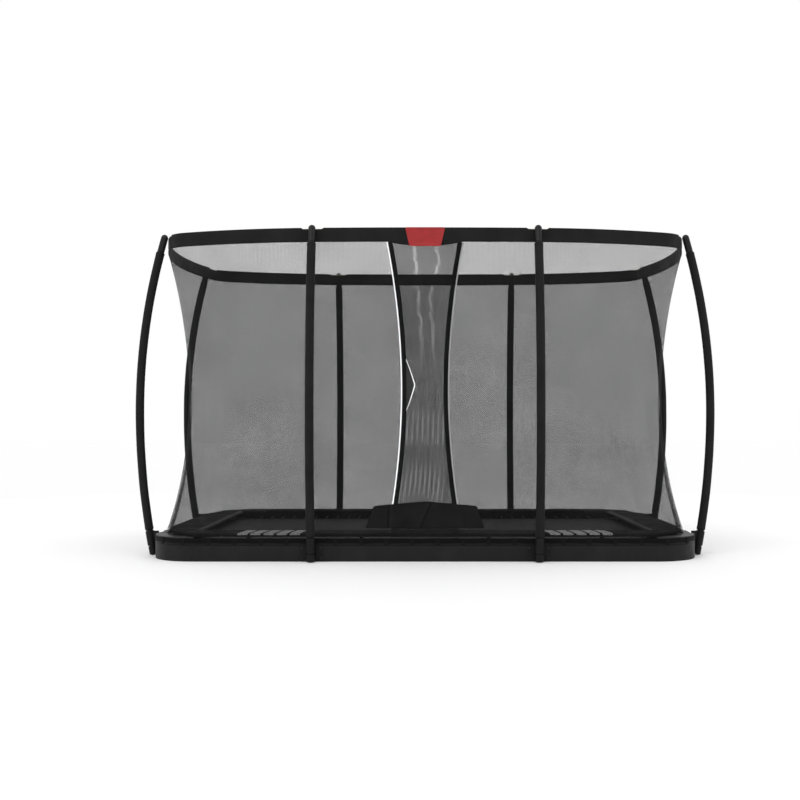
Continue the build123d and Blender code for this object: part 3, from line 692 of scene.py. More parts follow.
def entrance_crease_highlights(shader, u, v):
    # Painted highlights on the entrance net: long creases, pleats and faint streaks, towards the panel's free
    # edge.
    mapping = shader.node("ShaderNodeMapping")
    shader.feed(mapping.inputs["Scale"], (55.0, 2.0, 1.0))
    shader.feed(mapping.inputs["Vector"], shader.coordinates("UV"))
    faint_highlights = shader.noise(1.0, 2.0, Value(shader, mapping.outputs[0])).ramp(0.45, 0.75, 0.0, 0.16)
    crease_highlights = long_crease_highlights(shader, u, v).highest(short_crease_highlights(u, v)).highest(faint_highlights)
    return crease_highlights * u.ramp(0.66, 0.70)


def woven_mat(name, base=(0.016, 0.016, 0.0165)):
    """Flat woven strips both ways, a little worn."""
    shader = Shader(name, base, 0.55, Specular_IOR_Level=0.14, Sheen_Weight=0.02)
    u, v, _ = shader.split("UV")
    strips = weave(u, v, 0.0032)
    worn = shader.cloud(1.6, 4.0, factor=1.35, high=0.75)
    shader.link(shader.mix(strips.ramp(-1.0, 1.0) * 0.35, worn, (0.030, 0.030, 0.031)), "Base Color")
    shader.bump(strips, 0.0004, 0.7)
    shader.bump(shader.noise(7.0, 3.0), 0.004, 0.25)
    return shader.material


def reflective_piping(name):
    """White cord piping. Its slight glow stands for what its glass beads send back to the viewer."""
    shader = Shader(name, grey(0.86), 0.45, Specular_IOR_Level=0.5, Emission_Strength=0.3)
    shader.link((*grey(1.0), 1.0), "Emission Color")
    u, v, _ = shader.split("UV")
    shader.bump(((u + v) * (tau / 0.003)).sine(), 0.0003, 0.5)
    shade = shader.noise(30.0, 3.0).ramp(0.4, 0.75)
    shader.link(shader.mix(shade, grey(0.88), grey(0.78)), "Base Color")
    return shader.material


def soft_rubber(name, base):
    shader = Shader(name, base, 0.48, Specular_IOR_Level=0.4)
    shader.cloud(26.0, 3.0, factor=0.8, low=0.3, high=0.75)
    shader.bump(shader.noise(700.0, 2.0), 0.0002, 0.6)
    return shader.material


def floor_paint(name):
    """Near-white floor, painted palest under and around the object: a painted pool of light that lifts the
    shade the object casts there.
    """
    near, far = grey(0.97), grey(0.86)
    shader = Shader(name, far, 0.7, Specular_IOR_Level=0.2)
    x, y, _ = shader.split()
    apart = (x * x + y * y).root() + shader.noise(0.8, 3.0)
    # Painted light: the floor's colour is paler within about 4 m of the centre, fading to the plain grey by 9
    # m.
    shader.link(shader.mix(apart.ramp(4.0, 9.0), near, far), "Base Color")
    return shader.material


STEEL = powder_coat("frame_powder_coat")
# The last value is the height above which the panel is painted black, a painted shadow under the rail.
PANEL = powder_coat("panel_powder_coat", grey(0.0106), 0.48, RAIL_BOTTOM - 0.007)
SLEEVE = plain_fabric("pole_sleeve_fabric", grey(0.0078))
TOP_SLEEVE = plain_fabric("top_sleeve_fabric", grey(0.0078))
PAD = pad_cover("pad_cover_fabric", grey(0.0118))
# Darker copy of the pad fabric for the back pad: painted shade, as the back pad lies in shade.
PAD_SHADED_COPY = plain_fabric("pad_cover_unfaded", grey(0.0017), 0.65, 0.018, "Object")
FLAP = flap_cover("flap_fabric", grey(0.0042))
TAB = plain_fabric("tab_fabric", grey(0.024), roughness=0.6)
BAND = webbing("webbing_stitched")
HEM = webbing("hem_webbing", grey(0.003), stitched=False)
NET = knitted_net("knitted_net")
# The outer entrance panel carries painted highlights along its creases.
NET_OUTER = knitted_net("knitted_net_outer", highlight_thinning=entrance_crease_highlights)
NET_INNER = knitted_net("knitted_net_inner", grain=20.0)
MAT = woven_mat("woven_mat")
PIPING = reflective_piping("reflective_piping")
BADGE = soft_rubber("badge_rubber", (0.335, 0.0098, 0.0118))
SPRING_ZINC = plated_steel("zinc_plating", (0.24, 0.235, 0.22), 0.4)
# Darker copy of the zinc plating for the mat rings: painted shade, as the rings lie in shade under the pads'
# inner edges.
RING_ZINC_SHADED = plated_steel("ring_zinc_painted_shade", (0.09, 0.09, 0.085), 0.45)

# CAD nodes that stay on show, by how their names start; the first match counts.
CAD_MATERIALS = {
    "frame_": STEEL,
    "ground_panel": PANEL,
    "corner_plates": moulded_plastic("corner_plate_plastic", grey(0.022), 0.45),
    "pole_brackets": powder_coat("bracket_powder_coat", grey(0.007), 0.42),
    "bracket_bolts": moulded_plastic("bolt_black_zinc", (0.014, 0.014, 0.0145), 0.4),
    "net_pole_caps": moulded_plastic("cap_plastic", grey(0.009), 0.25),
    "net_pole_": STEEL,
    "net_top_rods": moulded_plastic("fibreglass", (0.62, 0.58, 0.48), 0.4),
    "net_hem_hooks": moulded_plastic("hook_plastic", grey(0.0012), 0.75),
    "pad_straps": webbing("webbing_plain", stitched=False),
}


def paint_cad_nodes():
    for name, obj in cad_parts.items():
        for start, material in CAD_MATERIALS.items():
            if name.startswith(start):
                paint(obj, material)
                break


# ---- Safety net ----

NET_ROWS = 61
NET_COLUMN_PITCH = 0.012
NET_TUCK = 0.009                # how far the net runs up inside the top sleeve
PLEAT_WIDTH = 0.034
PLEAT_DEPTH = 0.0022
ENTRANCE_COLUMNS = 110
BAND_THICKNESS = 0.0036
BAND_FOOT = 0.035               # rise at which the bands end, behind the flap
PIPING_FOOT = 0.05
PIPING_GAP = 0.001


def net_pleat(along, rise):
    """Small gathers just under the top sleeve and just over the hem."""
    fade = exp(-(1 - rise) * NET_HEIGHT / 0.10) + 0.6 * exp(-rise * NET_HEIGHT / 0.07)
    return PLEAT_DEPTH * fade * sin(tau * along / PLEAT_WIDTH + 2.2 * sin(along * 9.0))


def net_sheet(name, columns, place, node, width, material):
    """Net panel as one open sheet. place gives the point of a column at a rise and an inward shift."""

    def pleated(i, rise):
        along = width * i / (len(columns) - 1)
        return place(columns[i], rise, net_pleat(along, rise)), (along, rise * NET_HEIGHT)

    rises = spread(0, 1 + NET_TUCK / NET_HEIGHT, NET_ROWS)
    sheet = grid_object(name, range(len(columns)), rises, pleated)
    return finish_piece(sheet, [node], material)


def stretched_net(obj, width, station):
    """Works out the points of a net wall at a station and does nothing more with them."""
    points = [net_point(station, rise) for rise in spread(0, 1, NET_ROWS)]


def net_walls():
    for name, (first, last) in SPANS.items():
        if name == "front":
            continue
        foot, top = (
            station_distance(knots, last) - station_distance(knots, first)
            for knots in (FRAME_KNOTS, RING_KNOTS)
        )
        columns = spread(first, last, int(foot / NET_COLUMN_PITCH))
        sheet = net_sheet("net_wall_" + name, columns, net_point, "net_panel_" + name, foot, NET)
        stretched_net(sheet, max(foot, top), (first + last) / 2)


def entrance_edge(rise):
    """Half width of the entrance overlap at a rise: wide at both ends, narrow at the waist."""
    return ENTRANCE_EDGE_WAIST + (ENTRANCE_EDGE_TOP - ENTRANCE_EDGE_WAIST) * (2 * rise - 1) ** 2


def entrance_fold(side, x, rise):
    """Loose vertical folds where the two panels overlap, most at the top and near the foot."""
    slack = 0.35 + 0.65 * bell(rise - 0.95, 0.25) + 0.5 * bell(rise - 0.22, 0.12)
    wave = sin(x * 58 + side * 1.3 + 1.6 * sin(rise * 7 + side)) + 0.5 * sin(x * 131 + rise * 5)
    return 0.0016 * bell(x, 0.2) * slack * wave


def entrance_point(side, x, rise, inward=0.0):
    """Point on an entrance panel; the left panel passes behind the right one in the overlap."""
    share = min((POLE_LONG_X - side * x) / (POLE_LONG_X / 2), 1.0)
    layer = -side * LAYER_GAP / 2 * smoothstep(share)
    return net_point(STATIONS_PER_LAP + x / POLE_LONG_X, rise, layer + inward)


def entrance_panel(side, name, material):
    """side 1 is the outer panel, sewn in at the right pole; side -1 is the inner panel."""

    def place(share, rise, inward):
        free = -side * (entrance_edge(rise) - BAND_WIDTH / 2)
        x = side * POLE_LONG_X + (free - side * POLE_LONG_X) * share
        return entrance_point(side, x, rise, inward + entrance_fold(side, x, rise))

    columns = spread(0, 1, ENTRANCE_COLUMNS)
    width = POLE_LONG_X + ENTRANCE_EDGE_WAIST
    return net_sheet("net_entrance_sheet_" + name, columns, place, "net_entrance_" + name, width, material)


def entrance_strip(side, near, far, thickness, foot):
    """Centres and section of a strip along the free edge, from near to far in from that edge."""
    points = []
    for rise in spread(foot, 1, 121):
        x = -side * (entrance_edge(rise) - (near + far) / 2)
        points.append(entrance_point(side, x, rise, entrance_fold(side, x, rise)))
    return frames_along(points, FORWARD), rounded_slot(far - near, thickness, 16, 6.0)


def entrance():
    for side, name, material in ((1, "right", NET_OUTER), (-1, "left", NET_INNER)):
        panel = entrance_panel(side, name, material)
        band = tube_object(
            "entrance_band_" + name, *entrance_strip(side, 0.0, BAND_WIDTH, BAND_THICKNESS, BAND_FOOT)
        )
        outer = -2 * PIPING_RADIUS - PIPING_GAP
        piping = tube_object(
            "entrance_piping_" + name,
            *entrance_strip(side, outer, -PIPING_GAP, 2 * PIPING_RADIUS, PIPING_FOOT),
        )
        stands_for = (["entrance_bands"], ["entrance_piping"]) if side > 0 else ([], [])
        finish_piece(band, stands_for[0], BAND)
        finish_piece(piping, stands_for[1], PIPING)
        stretched_net(panel, POLE_LONG_X + ENTRANCE_EDGE_TOP, 0)


TAB_LAP = 0.002                 # how far the patch runs under the band
TAB_STAND_OFF = 0.0042
TAB_DOME = 0.0015
TAB_THICKNESS = 0.003
TAB_TRIM_RADIUS = 0.0042        # at the tab's point; thinner towards both ends


def pull_tab():
    """Three-cornered patch beside the outer panel's band, edged with piping."""
    middle = (TAB_MID_Z - NET_BOTTOM) / NET_HEIGHT
    reach = TAB_LENGTH / 2 / NET_HEIGHT
    rows = spread(-1, 1, 41)

    def place(share, t):
        rise = middle + reach * t
        x = -entrance_edge(rise) + BAND_WIDTH - TAB_LAP + TAB_WIDTH * (1 - abs(t)) ** 0.9 * share
        point = entrance_point(1, x, rise) + FORWARD * (TAB_STAND_OFF + TAB_DOME * sin(pi * share))
        return point, (share * TAB_WIDTH, rise * NET_HEIGHT)

    tab = grid_object("pull_tab_patch", spread(0, 1, 9), rows, place)
    tab.modifiers.new("thickness", "SOLIDIFY").thickness = TAB_THICKNESS
    finish_piece(tab, ["pull_tab"], TAB)
    edge = [place(1, t)[0] + Vector((0.001, -0.0005, 0)) for t in rows]
    sections = [circle(TAB_TRIM_RADIUS * (1 - 0.65 * abs(t)), 10) for t in rows]
    inner_highlight = tube_object("pull_tab_piping", frames_along(edge, FORWARD), lambda i, _along: sections[i])
    finish_piece(inner_highlight, [], PIPING)


# ---- Top sleeve, badge and hem ----

SCOOP_HALF = 0.28
SCOOP_DEPTH = 0.033
NOTCH_HALF = 0.080
NOTCH_DEPTH = 0.009
NOTCH_FADE = 0.014
SLEEVE_STEP = 0.010
SLEEVE_END_GAP = 0.003
SEAM_RISE = 0.030               # height of the sewn line above the sleeve's lower edge
SEAM_HALF = 0.006
SLEEVE_RIPPLE = 0.0008
BADGE_ROUND = 0.014             # corner radius
HEM_STEP = 0.02
HEM_INWARD = 0.0016
HEM_WAVE = 0.0016               # rise and fall between the hooks
HEM_HOOK_PITCH = 0.2
HEM_THICKNESS = 0.0028
HEM_MARGIN = 0.004              # how much narrower the webbing is than the CAD's hem


def top_sleeve():
    """Fabric channel round the top, lowered beside each pole cap, with a scoop over the entrance."""
    builder = Builder()
    for name, stations in SPANS.items():
        start, end = (station_distance(RING_KNOTS, station) for station in stations)
        start, end = start + SLEEVE_END_GAP, end - SLEEVE_END_GAP
        centres = []
        sections = []
        for distance in spread(start, end, int((end - start) / SLEEVE_STEP)):
            x = RING.at(distance)[0]
            past_notch = min(distance - start, end - distance) - NOTCH_HALF + NOTCH_FADE
            high = SLEEVE_HIGH - NOTCH_DEPTH * (1 - smoothstep(past_notch / NOTCH_FADE))
            low = SLEEVE_LOW
            if name == "front" and abs(x) < SCOOP_HALF:
                low -= SCOOP_DEPTH * (1 - (x / SCOOP_HALF) ** 2)
            ripple = 1 + sin(distance * 61.0 + 2 * sin(distance * 13.0))
            thick = TOP_SLEEVE_THICKNESS - SLEEVE_RIPPLE * ripple
            seam = (high - low) / 2 - SEAM_RISE
            outline = rounded_slot(thick, high - low, 36, 5.0)
            sections.append([(a * (1 - 0.42 * bell(b + seam, SEAM_HALF)), b) for a, b in outline])
            centres.append(path_centre(RING, distance, 0.0, (high + low) / 2))
        builder.tube(centres, lambda i, _along, sections=sections: sections[i])
    obj = builder.build("top_sleeve_fabric")
    finish_piece(obj, ["net_top_sleeve"], TOP_SLEEVE)


# Rings of the badge's face, from its edge inward: size, and height as a share of its depth.
BADGE_RINGS = ((1.0, 0.0), (1.0, 0.8), (0.985, 1.0), (0.945, 1.0), (0.93, 0.72), (0.5, 0.86), (0.04, 0.9))
BADGE_TAPER = 0.78


def badge():
    """Plain tapered badge: a domed face inside a raised rim, with no mark."""
    low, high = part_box("badge")
    half_top = (high.x - low.x) / 2
    half_low = half_top * BADGE_TAPER
    middle_z = (low.z + high.z) / 2
    half = (high.z - low.z) / 2
    corners = [(-half_top, half), (half_top, half), (half_low, -half), (-half_low, -half)]
    outline = rounded_polygon(corners, BADGE_ROUND, 6)

    def place(ring, corner):
        (scale, out), (x, z) = ring, corner
        y = high.y - (high.y - low.y) * out
        return Vector((x * scale, y, middle_z + z * scale)), (x * scale, z * scale)

    obj = grid_object("badge_plain", BADGE_RINGS, outline + outline[:1], place)
    mesh = bmesh.new()
    mesh.from_mesh(obj.data)
    bmesh.ops.remove_doubles(mesh, verts=mesh.verts, dist=1e-6)
    bmesh.ops.holes_fill(mesh, edges=mesh.edges, sides=0)
    bmesh.ops.recalc_face_normals(mesh, faces=mesh.faces)
    mesh.to_mesh(obj.data)
    mesh.free()
    finish_piece(obj, ["badge"], BADGE)


def hem():
    """Webbing round the foot of the net, with a soft wave between its hooks."""
    low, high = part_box("net_hem")
    lap = 4 * FRAME.quarter_length
    count = int(lap / HEM_STEP)
    centres = []
    for i in range(count):
        distance = lap * i / count
        wave = HEM_WAVE * sin(tau * distance / HEM_HOOK_PITCH)
        centres.append(path_centre(FRAME, distance, HEM_INWARD, (low.z + high.z) / 2 + wave))
    section = rounded_slot(HEM_THICKNESS, high.z - low.z - HEM_MARGIN, 14, 6.0)
    obj = tube_object("net_hem_webbing", centres, section, closed=True)
    finish_piece(obj, ["net_hem"], HEM)


# ---- Poles ----

SLEEVE_SIDES = 40
SLEEVE_ROWS = 260


def pole_places():
    """Where each pole stands, and the direction in degrees in which it arches out."""
    places = {}
    for side, sign, turn in (("front", -1, -90), ("back", 1, 90)):
        for end, x in (("left", -POLE_LONG_X), ("right", POLE_LONG_X)):
            places[f"{side}_{end}"] = (x, sign * (HALF_WIDTH + POLE_STAND_OFF), turn)
    for side, sign, turn in (("left", -1, 180), ("right", 1, 0)):
        for end, y in (("front", -POLE_SIDE_Y), ("back", POLE_SIDE_Y)):
            places[f"{side}_{end}"] = (sign * (HALF_LENGTH + POLE_STAND_OFF), y, turn)
    return places


def pole_axis(z):
    """Outward offset of a pole's axis at a height, and its slope."""
    radius = POLE_LOWER_RADIUS if z < POLE_APEX_Z else POLE_UPPER_RADIUS
    angle = asin((z - POLE_APEX_Z) / radius)
    return POLE_APEX_OUT - radius * (1 - cos(angle)), angle


def sleeve_radius(index, z, angle):
    """Outer radius of a pole's sleeve at a height and an angle: uneven foam, creases, seam and cuffs."""
    from_end = min(z - SLEEVE_BOTTOM_Z, SLEEVE_TOP_Z - z)
    foam = simplex.noise(Vector((3 * cos(angle), 3 * sin(angle) + index, z * 5)))
    crease = sin(z * 150 + 5 * simplex.noise(Vector((index, z * 3, 1))))
    patch = 0.5 + 0.5 * simplex.noise(Vector((z * 2.2, index * 7, angle)))
    cuff = 0.0008 * smoothstep((0.026 - from_end) / 0.003)
    cuff -= 0.006 * smoothstep((0.0035 - from_end) / 0.0035)
    seam = 0.0011 * bell(angle % tau - pi, 0.10)
    return SLEEVE_RADIUS - 0.0006 + 0.0009 * foam + 0.00035 * crease * patch + seam + cuff


def pole_sleeves():
    """Foam sleeves in sewn covers: a seam down the inner side, cuffs at both ends, faint creases."""
    angles = [tau * j / SLEEVE_SIDES for j in range(SLEEVE_SIDES)]
    for index, (name, (px, py, turn)) in enumerate(pole_places().items()):
        place = Matrix.Translation((px, py, 0)) @ Matrix.Rotation(radians(turn), 4, "Z")
        centres = []
        for z in spread(SLEEVE_BOTTOM_Z, SLEEVE_TOP_Z, SLEEVE_ROWS):
            out, slope = pole_axis(z)
            side = place.to_3x3() @ Vector((cos(slope), 0, sin(slope)))
            centres.append((place @ Vector((out, 0, z)), side, place.to_3x3() @ -FORWARD, z))

        def section(_i, z, index=index):
            radii = [sleeve_radius(index, z, angle) for angle in angles]
            return [(radius * cos(angle), radius * sin(angle)) for radius, angle in zip(radii, angles)]

        obj = tube_object("pole_sleeve_" + name, centres, section)
        nodes = ["net_pole_sleeves"] if index == 0 else []
        finish_piece(obj, nodes, SLEEVE)


# ---- Mat, rings and springs ----

MAT_ROWS = 99
MAT_COLUMNS = 179
SPRING_WIRE = 0.0015
COIL_RADIUS = 0.0085
COIL_TURNS = 26
HOOK_RADIUS = 0.007
STEM = 0.018                    # from a spring's end to its coil
RING_WIRE = 0.002
RING_ROUND = 0.006              # corner radius
RING_TUCK = 0.006               # how far a ring reaches in under the mat's edge
MAT_SAG = 0.0012
WEBBING_MARGIN = 0.001          # from the mat's edge
WEBBING_RISE = 0.0013           # of the webbing's middle over the mat
WEBBING_THICKNESS = 0.002
WEBBING_STEP = 0.04
HOOK_OVERLAP = 0.004            # how far a spring's hook reaches in past its ring's tip


def mat_half(y):
    """Half length of the mat at a given Y, shortened where its corners are cut."""
    past = abs(y) - (MAT_HIGH.y - MAT_CORNER_CUT)
    return MAT_HIGH.x - max(past, 0.0)


def mat():
    """Woven mat as one closed sheet, pulled slightly between its rings."""
    builder = Builder()
    for z, flip in ((MAT_HIGH.z, 1), (MAT_LOW.z, -1)):

        def place(i, j, z=z):
            y = MAT_LOW.y + (MAT_HIGH.y - MAT_LOW.y) * j / (MAT_ROWS - 1)
            x = mat_half(y) * (2 * i / (MAT_COLUMNS - 1) - 1)
            sag = MAT_SAG * cos(x * 0.8) * cos(y * 1.4)
            return Vector((x, y, z - sag)), (x, y)

        builder.grid(range(MAT_COLUMNS)[::flip], range(MAT_ROWS), place)
    # The sides between the two faces; the lower one's columns run the other way.
    faces, last = builder.faces, MAT_ROWS - 1
    upper = [i * MAT_ROWS for i in range(MAT_COLUMNS)]
    lower = [(2 * MAT_COLUMNS - 1 - i) * MAT_ROWS for i in range(MAT_COLUMNS)]
    for a, b, c, d in zip(upper, upper[1:], lower, lower[1:]):
        faces.append((b, a, c, d))
        faces.append((a + last, b + last, d + last, c + last))
    for j in range(last):
        faces.append((j, j + 1, lower[0] + j + 1, lower[0] + j))
        faces.append((upper[-1] + j + 1, upper[-1] + j, lower[-1] + j, lower[-1] + j + 1))
    obj = finish_piece(builder.build("mat_sheet"), ["jumping_mat"], MAT, "mat")


def mat_webbing():
    """Webbing band sewn over the mat's edge."""
    inset = WEBBING_WIDTH / 2 + WEBBING_MARGIN
    cut = MAT_CORNER_CUT - inset * (2 - sqrt(2))
    x, y = MAT_HIGH.x - inset, inset - MAT_HIGH.y
    corner = [(x - cut, y), (x, y + cut)]
    corners = corner + [(x, -y) for x, y in corner[::-1]]
    corners += [(-x, -y) for x, y in corner] + [(-x, y) for x, y in corner[::-1]]
    corners = [Vector((*point, MAT_HIGH.z + WEBBING_RISE)) for point in corners]
    points = []
    for start, end in zip(corners, corners[1:] + corners[:1]):
        steps = max(int((end - start).length / WEBBING_STEP), 2)
        points += [start.lerp(end, k / steps) for k in range(steps)]
    section = rounded_slot(WEBBING_WIDTH, WEBBING_THICKNESS, 12, 6.0)
    obj = tube_object("mat_webbing_band", frames_along(points, UP, closed=True), section, closed=True)
    finish_piece(obj, ["mat_edge_webbing"], BAND, "mat")


def spring_places():
    """Where each spring leaves the mat's edge and its direction in degrees, side by side."""
    half_x, half_y = MAT_HIGH.x, MAT_HIGH.y

    def row(half):
        count = floor((2 * half - 2 * MAT_CORNER_CUT) / SPRING_PITCH)
        return [(i - (count - 1) / 2) * SPRING_PITCH for i in range(count)]

    places = {
        "front": [(x, -half_y, -90) for x in row(half_x)],
        "back": [(x, half_y, 90) for x in row(half_x)],
        "left": [(-half_x, y, 180) for y in row(half_y)],
        "right": [(half_x, y, 0) for y in row(half_y)],
    }
    middle = MAT_CORNER_CUT / 2
    corner_shift = SPRING_PITCH / 2 / sqrt(2)
    for sign_x, side in ((1, "right"), (-1, "left")):
        for sign_y, end in ((1, "back"), (-1, "front")):
            angle = 45 * sign_y if sign_x > 0 else 180 - 45 * sign_y
            places[f"corner_{end}_{side}"] = [
                (sign_x * (half_x - middle + shift), sign_y * (half_y - middle - shift), angle)
                for shift in (-corner_shift, corner_shift)
            ]
    return places


def rail_reach(x, y, angle):
    """Distance from a point on the mat's edge, along a direction, to the rail's inner face."""
    step_x, step_y = cos(radians(angle)), sin(radians(angle))
    radius = CORNER_RADIUS - (RAIL_TOP - RAIL_BOTTOM)
    low, high = 0.0, CORNER_RADIUS * 2
    while high - low > 1e-5:
        middle = (low + high) / 2
        over_x = max(abs(x + step_x * middle) - (HALF_LENGTH - CORNER_RADIUS), 0)
        over_y = max(abs(y + step_y * middle) - (HALF_WIDTH - CORNER_RADIUS), 0)
        if hypot(over_x, over_y) < radius:
            low = middle
        else:
            high = middle
    return low


def at_mat_edge(x, y, angle):
    z = (MAT_LOW.z + MAT_HIGH.z) / 2
    return Matrix.Translation((x, y, z)) @ Matrix.Rotation(radians(angle), 4, "Z")


def coil_points(start, end):
    """Line of a spring's wire: hook, stem, coil, stem and hook, along local X."""
    first, last = start + STEM, end - STEM
    steps = COIL_TURNS * 9

    def hook(base, way, angles):
        reach = [HOOK_RADIUS * (1 - cos(angle)) - 0.001 for angle in angles]
        return [Vector((base + way * x, 0, HOOK_RADIUS * sin(angle))) for x, angle in zip(reach, angles)]

    points = hook(start, 1, spread(-2.4, 0.9, 7)) + [Vector((first - 0.004, 0, 0.002))]
    for i in range(steps + 1):
        share = i / steps
        swell = min(1.0, share * COIL_TURNS / 1.5, (1 - share) * COIL_TURNS / 1.5)
        radius = COIL_RADIUS * (0.3 + 0.7 * swell)
        angle = tau * COIL_TURNS * share
        points.append(Vector((first + (last - first) * share, radius * sin(angle), radius * cos(angle))))
    return points + [Vector((last + 0.004, 0, 0.002))] + hook(end, -1, spread(0.9, -1.2, 5))


def wire(builder, points, radius, sides):
    """Round wire along points, its section carried along without twisting."""
    side = (points[1] - points[0]).normalized().orthogonal().normalized()
    centres = []
    for point, tangent, along in walk(points):
        side = (side - tangent * side.dot(tangent)).normalized()
        centres.append((point, side, tangent.cross(side), along))
    builder.tube(centres, circle(radius, sides))


def springs():
    """Coil springs, one piece to a side or corner, that stretch between the rail and the mat."""
    at_rail, at_mat = 0.05, 0.03    # how far in from the rail and out from the mat each side's span ends; the spans are worked out but not used
    blends = {
        "front": ((0, at_rail - HALF_WIDTH, 0), (0, MAT_LOW.y - at_mat, 0)),
        "back": ((0, HALF_WIDTH - at_rail, 0), (0, MAT_HIGH.y + at_mat, 0)),
        "left": ((at_rail - HALF_LENGTH, 0, 0), (MAT_LOW.x - at_mat, 0, 0)),
        "right": ((HALF_LENGTH - at_rail, 0, 0), (MAT_HIGH.x + at_mat, 0, 0)),
    }
    for name, places in spring_places().items():
        builder = Builder()
        for place in places:
            line = coil_points(RING_LENGTH - HOOK_OVERLAP, rail_reach(*place))
            wire(builder, [at_mat_edge(*place) @ point for point in line], SPRING_WIRE, 5)
        obj = builder.build("spring_coils_" + name)
        paint(obj, SPRING_ZINC)
        if name in blends:
            start, stop = blends[name]
            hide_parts("springs_" + name)
        else:
            matrix = at_mat_edge(*places[0])
            start, stop = (matrix @ Vector((x, 0, 0)) for x in (rail_reach(*places[0]), at_mat))
        tuple(start)
        tuple(stop)
        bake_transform(obj)


def mat_rings():
    """Three-sided wire rings that the springs hook into."""
    builder = Builder()
    corners = [(-RING_TUCK, -RING_WIDTH / 2), (-RING_TUCK, RING_WIDTH / 2), (RING_LENGTH, 0)]
    outline = [Vector((x, y, 0)) for x, y in rounded_polygon(corners, RING_ROUND, 5)]
    for place in sum(spring_places().values(), []):
        points = [at_mat_edge(*place) @ point for point in outline]
        builder.tube(frames_along(points, UP, closed=True), circle(RING_WIRE, 6), closed=True)
    finish_piece(builder.build("mat_ring_wires"), ["mat_rings"], RING_ZINC_SHADED, "mat")


# ---- Edge pads ----

PAD_SEAM = 0.002
PAD_EDGE = 0.016                # radius of a pad's rounded edge
PAD_VOXEL = 0.0085


def pad_outlines():
    """Each outline in plan, with the pads that have it: name, mirror in X, mirror in Y."""
    front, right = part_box("edge_pad_front"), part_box("edge_pad_right")
    long_x, outer_y = front[1].x, -front[0].y
    side_y, outer_x = right[1].y, right[1].x
    inner_x, inner_y = PAD_INNER_X, PAD_INNER_Y
    long_pad = [(-long_x, inner_y), (long_x, inner_y), (long_x, outer_y), (-long_x, outer_y)]
    side_pad = [(inner_x, -side_y), (outer_x, -side_y), (outer_x, side_y), (inner_x, side_y)]
    corner_pad = [
        (long_x + PAD_SEAM, inner_y),
        (inner_x, inner_y),
        (inner_x, side_y + PAD_SEAM),
        (outer_x, side_y + PAD_SEAM),
        *PAD_CUT_CORNERS,
        (PAD_CUT_X, outer_y),
        (long_x + PAD_SEAM, outer_y),
    ]
    corners = [("front_right", 1, -1), ("front_left", -1, -1), ("back_right", 1, 1), ("back_left", -1, 1)]
    return [
        (long_pad, [("front", 1, -1), ("back", 1, 1)]),
        (side_pad, [("right", 1, 1), ("left", -1, 1)]),
        (corner_pad, [("corner_" + name, x, y) for name, x, y in corners]),
    ]


def edge_distance(points, outline):
    """Distance of each point in plan to the nearest side of an outline."""
    nearest = np.full(len(points), 1e9)
    for i, start in enumerate(outline):
        a = np.array(start)
        b = np.array(outline[(i + 1) % len(outline)])
        t = np.clip(((points - a) @ (b - a)) / ((b - a) @ (b - a)), 0, 1)
        nearest = np.minimum(nearest, np.linalg.norm(points - a - t[:, None] * (b - a), axis=1))
    return nearest


def pad_slab(outline):
    """Evenly meshed slab of a pad's outline."""
    mesh = bmesh.new()
    face = mesh.faces.new([mesh.verts.new((x, y, PAD_BOTTOM)) for x, y in outline])
    lifted = bmesh.ops.extrude_face_region(mesh, geom=[face])
    for vertex in lifted["geom"]:
        if isinstance(vertex, bmesh.types.BMVert):
            vertex.co.z = PAD_TOP
    bmesh.ops.recalc_face_normals(mesh, faces=mesh.faces)
    data = bpy.data.meshes.new("pad")
    mesh.to_mesh(data)
    mesh.free()
    obj = add_object("pad", data)
    modifier = obj.modifiers.new("remesh", "REMESH")
    modifier.mode = "VOXEL"
    modifier.voxel_size = PAD_VOXEL
    apply_modifiers(obj)
    data = obj.data
    bpy.data.objects.remove(obj)
    return data


def shape_pad(data, outline):
    """Rounds the slab's edges and crowns it, with shallow puckers along the sewn edge."""
    co = np.empty(len(data.vertices) * 3)
    data.vertices.foreach_get("co", co)
    co = co.reshape(-1, 3)
    distance = edge_distance(co[:, :2], outline)
    middle, half = (PAD_BOTTOM + PAD_TOP) / 2, (PAD_TOP - PAD_BOTTOM) / 2
    profile = np.sqrt(1 - (1 - np.clip(distance / PAD_EDGE, 0, 1)) ** 2)
    crown = 0.93 + 0.07 * np.clip(distance / 0.1, 0, 1)
    upper = co[:, 2] > middle
    height = half * profile * np.where(upper, crown, 0.98)
    pucker = 0.0010 * np.exp(-((distance - 0.028) / 0.02) ** 2) * np.sin((co[:, 0] + co[:, 1]) * 95)
    wave = 0.0012 * np.sin(co[:, 0] * 11 + 1.3 * np.sin(co[:, 1] * 9)) * np.clip(distance / 0.08, 0, 1)
    co[:, 2] = middle + np.where(upper, 1, -1) * height + np.where(upper, pucker + wave - 0.0012, 0)
    data.vertices.foreach_set("co", co.ravel())
    data.polygons.foreach_set("use_smooth", [True] * len(data.polygons))
    data.update()


def pads():
    for outline, places in pad_outlines():
        shape = pad_slab(outline)
        shape_pad(shape, outline)
        for name, mirror_x, mirror_y in places:
            data = shape.copy()
            data.transform(Matrix.Diagonal((mirror_x, mirror_y, 1, 1)))
            if mirror_x * mirror_y < 0:
                data.flip_normals()
            obj = add_object(f"edge_pad_{name}_cushion", data)
            nodes = [] if name.startswith("corner") else ["edge_pad_" + name]
            if name == "corner_front_right":
                nodes = ["edge_pad_corners"]
            # The back pad gets the darker copy of the fabric, its colour painted as shade.
            finish_piece(obj, nodes, PAD_SHADED_COPY if name == "back" else PAD)


# ---- Threshold flap ----

FLAP_THICKNESS = 0.004


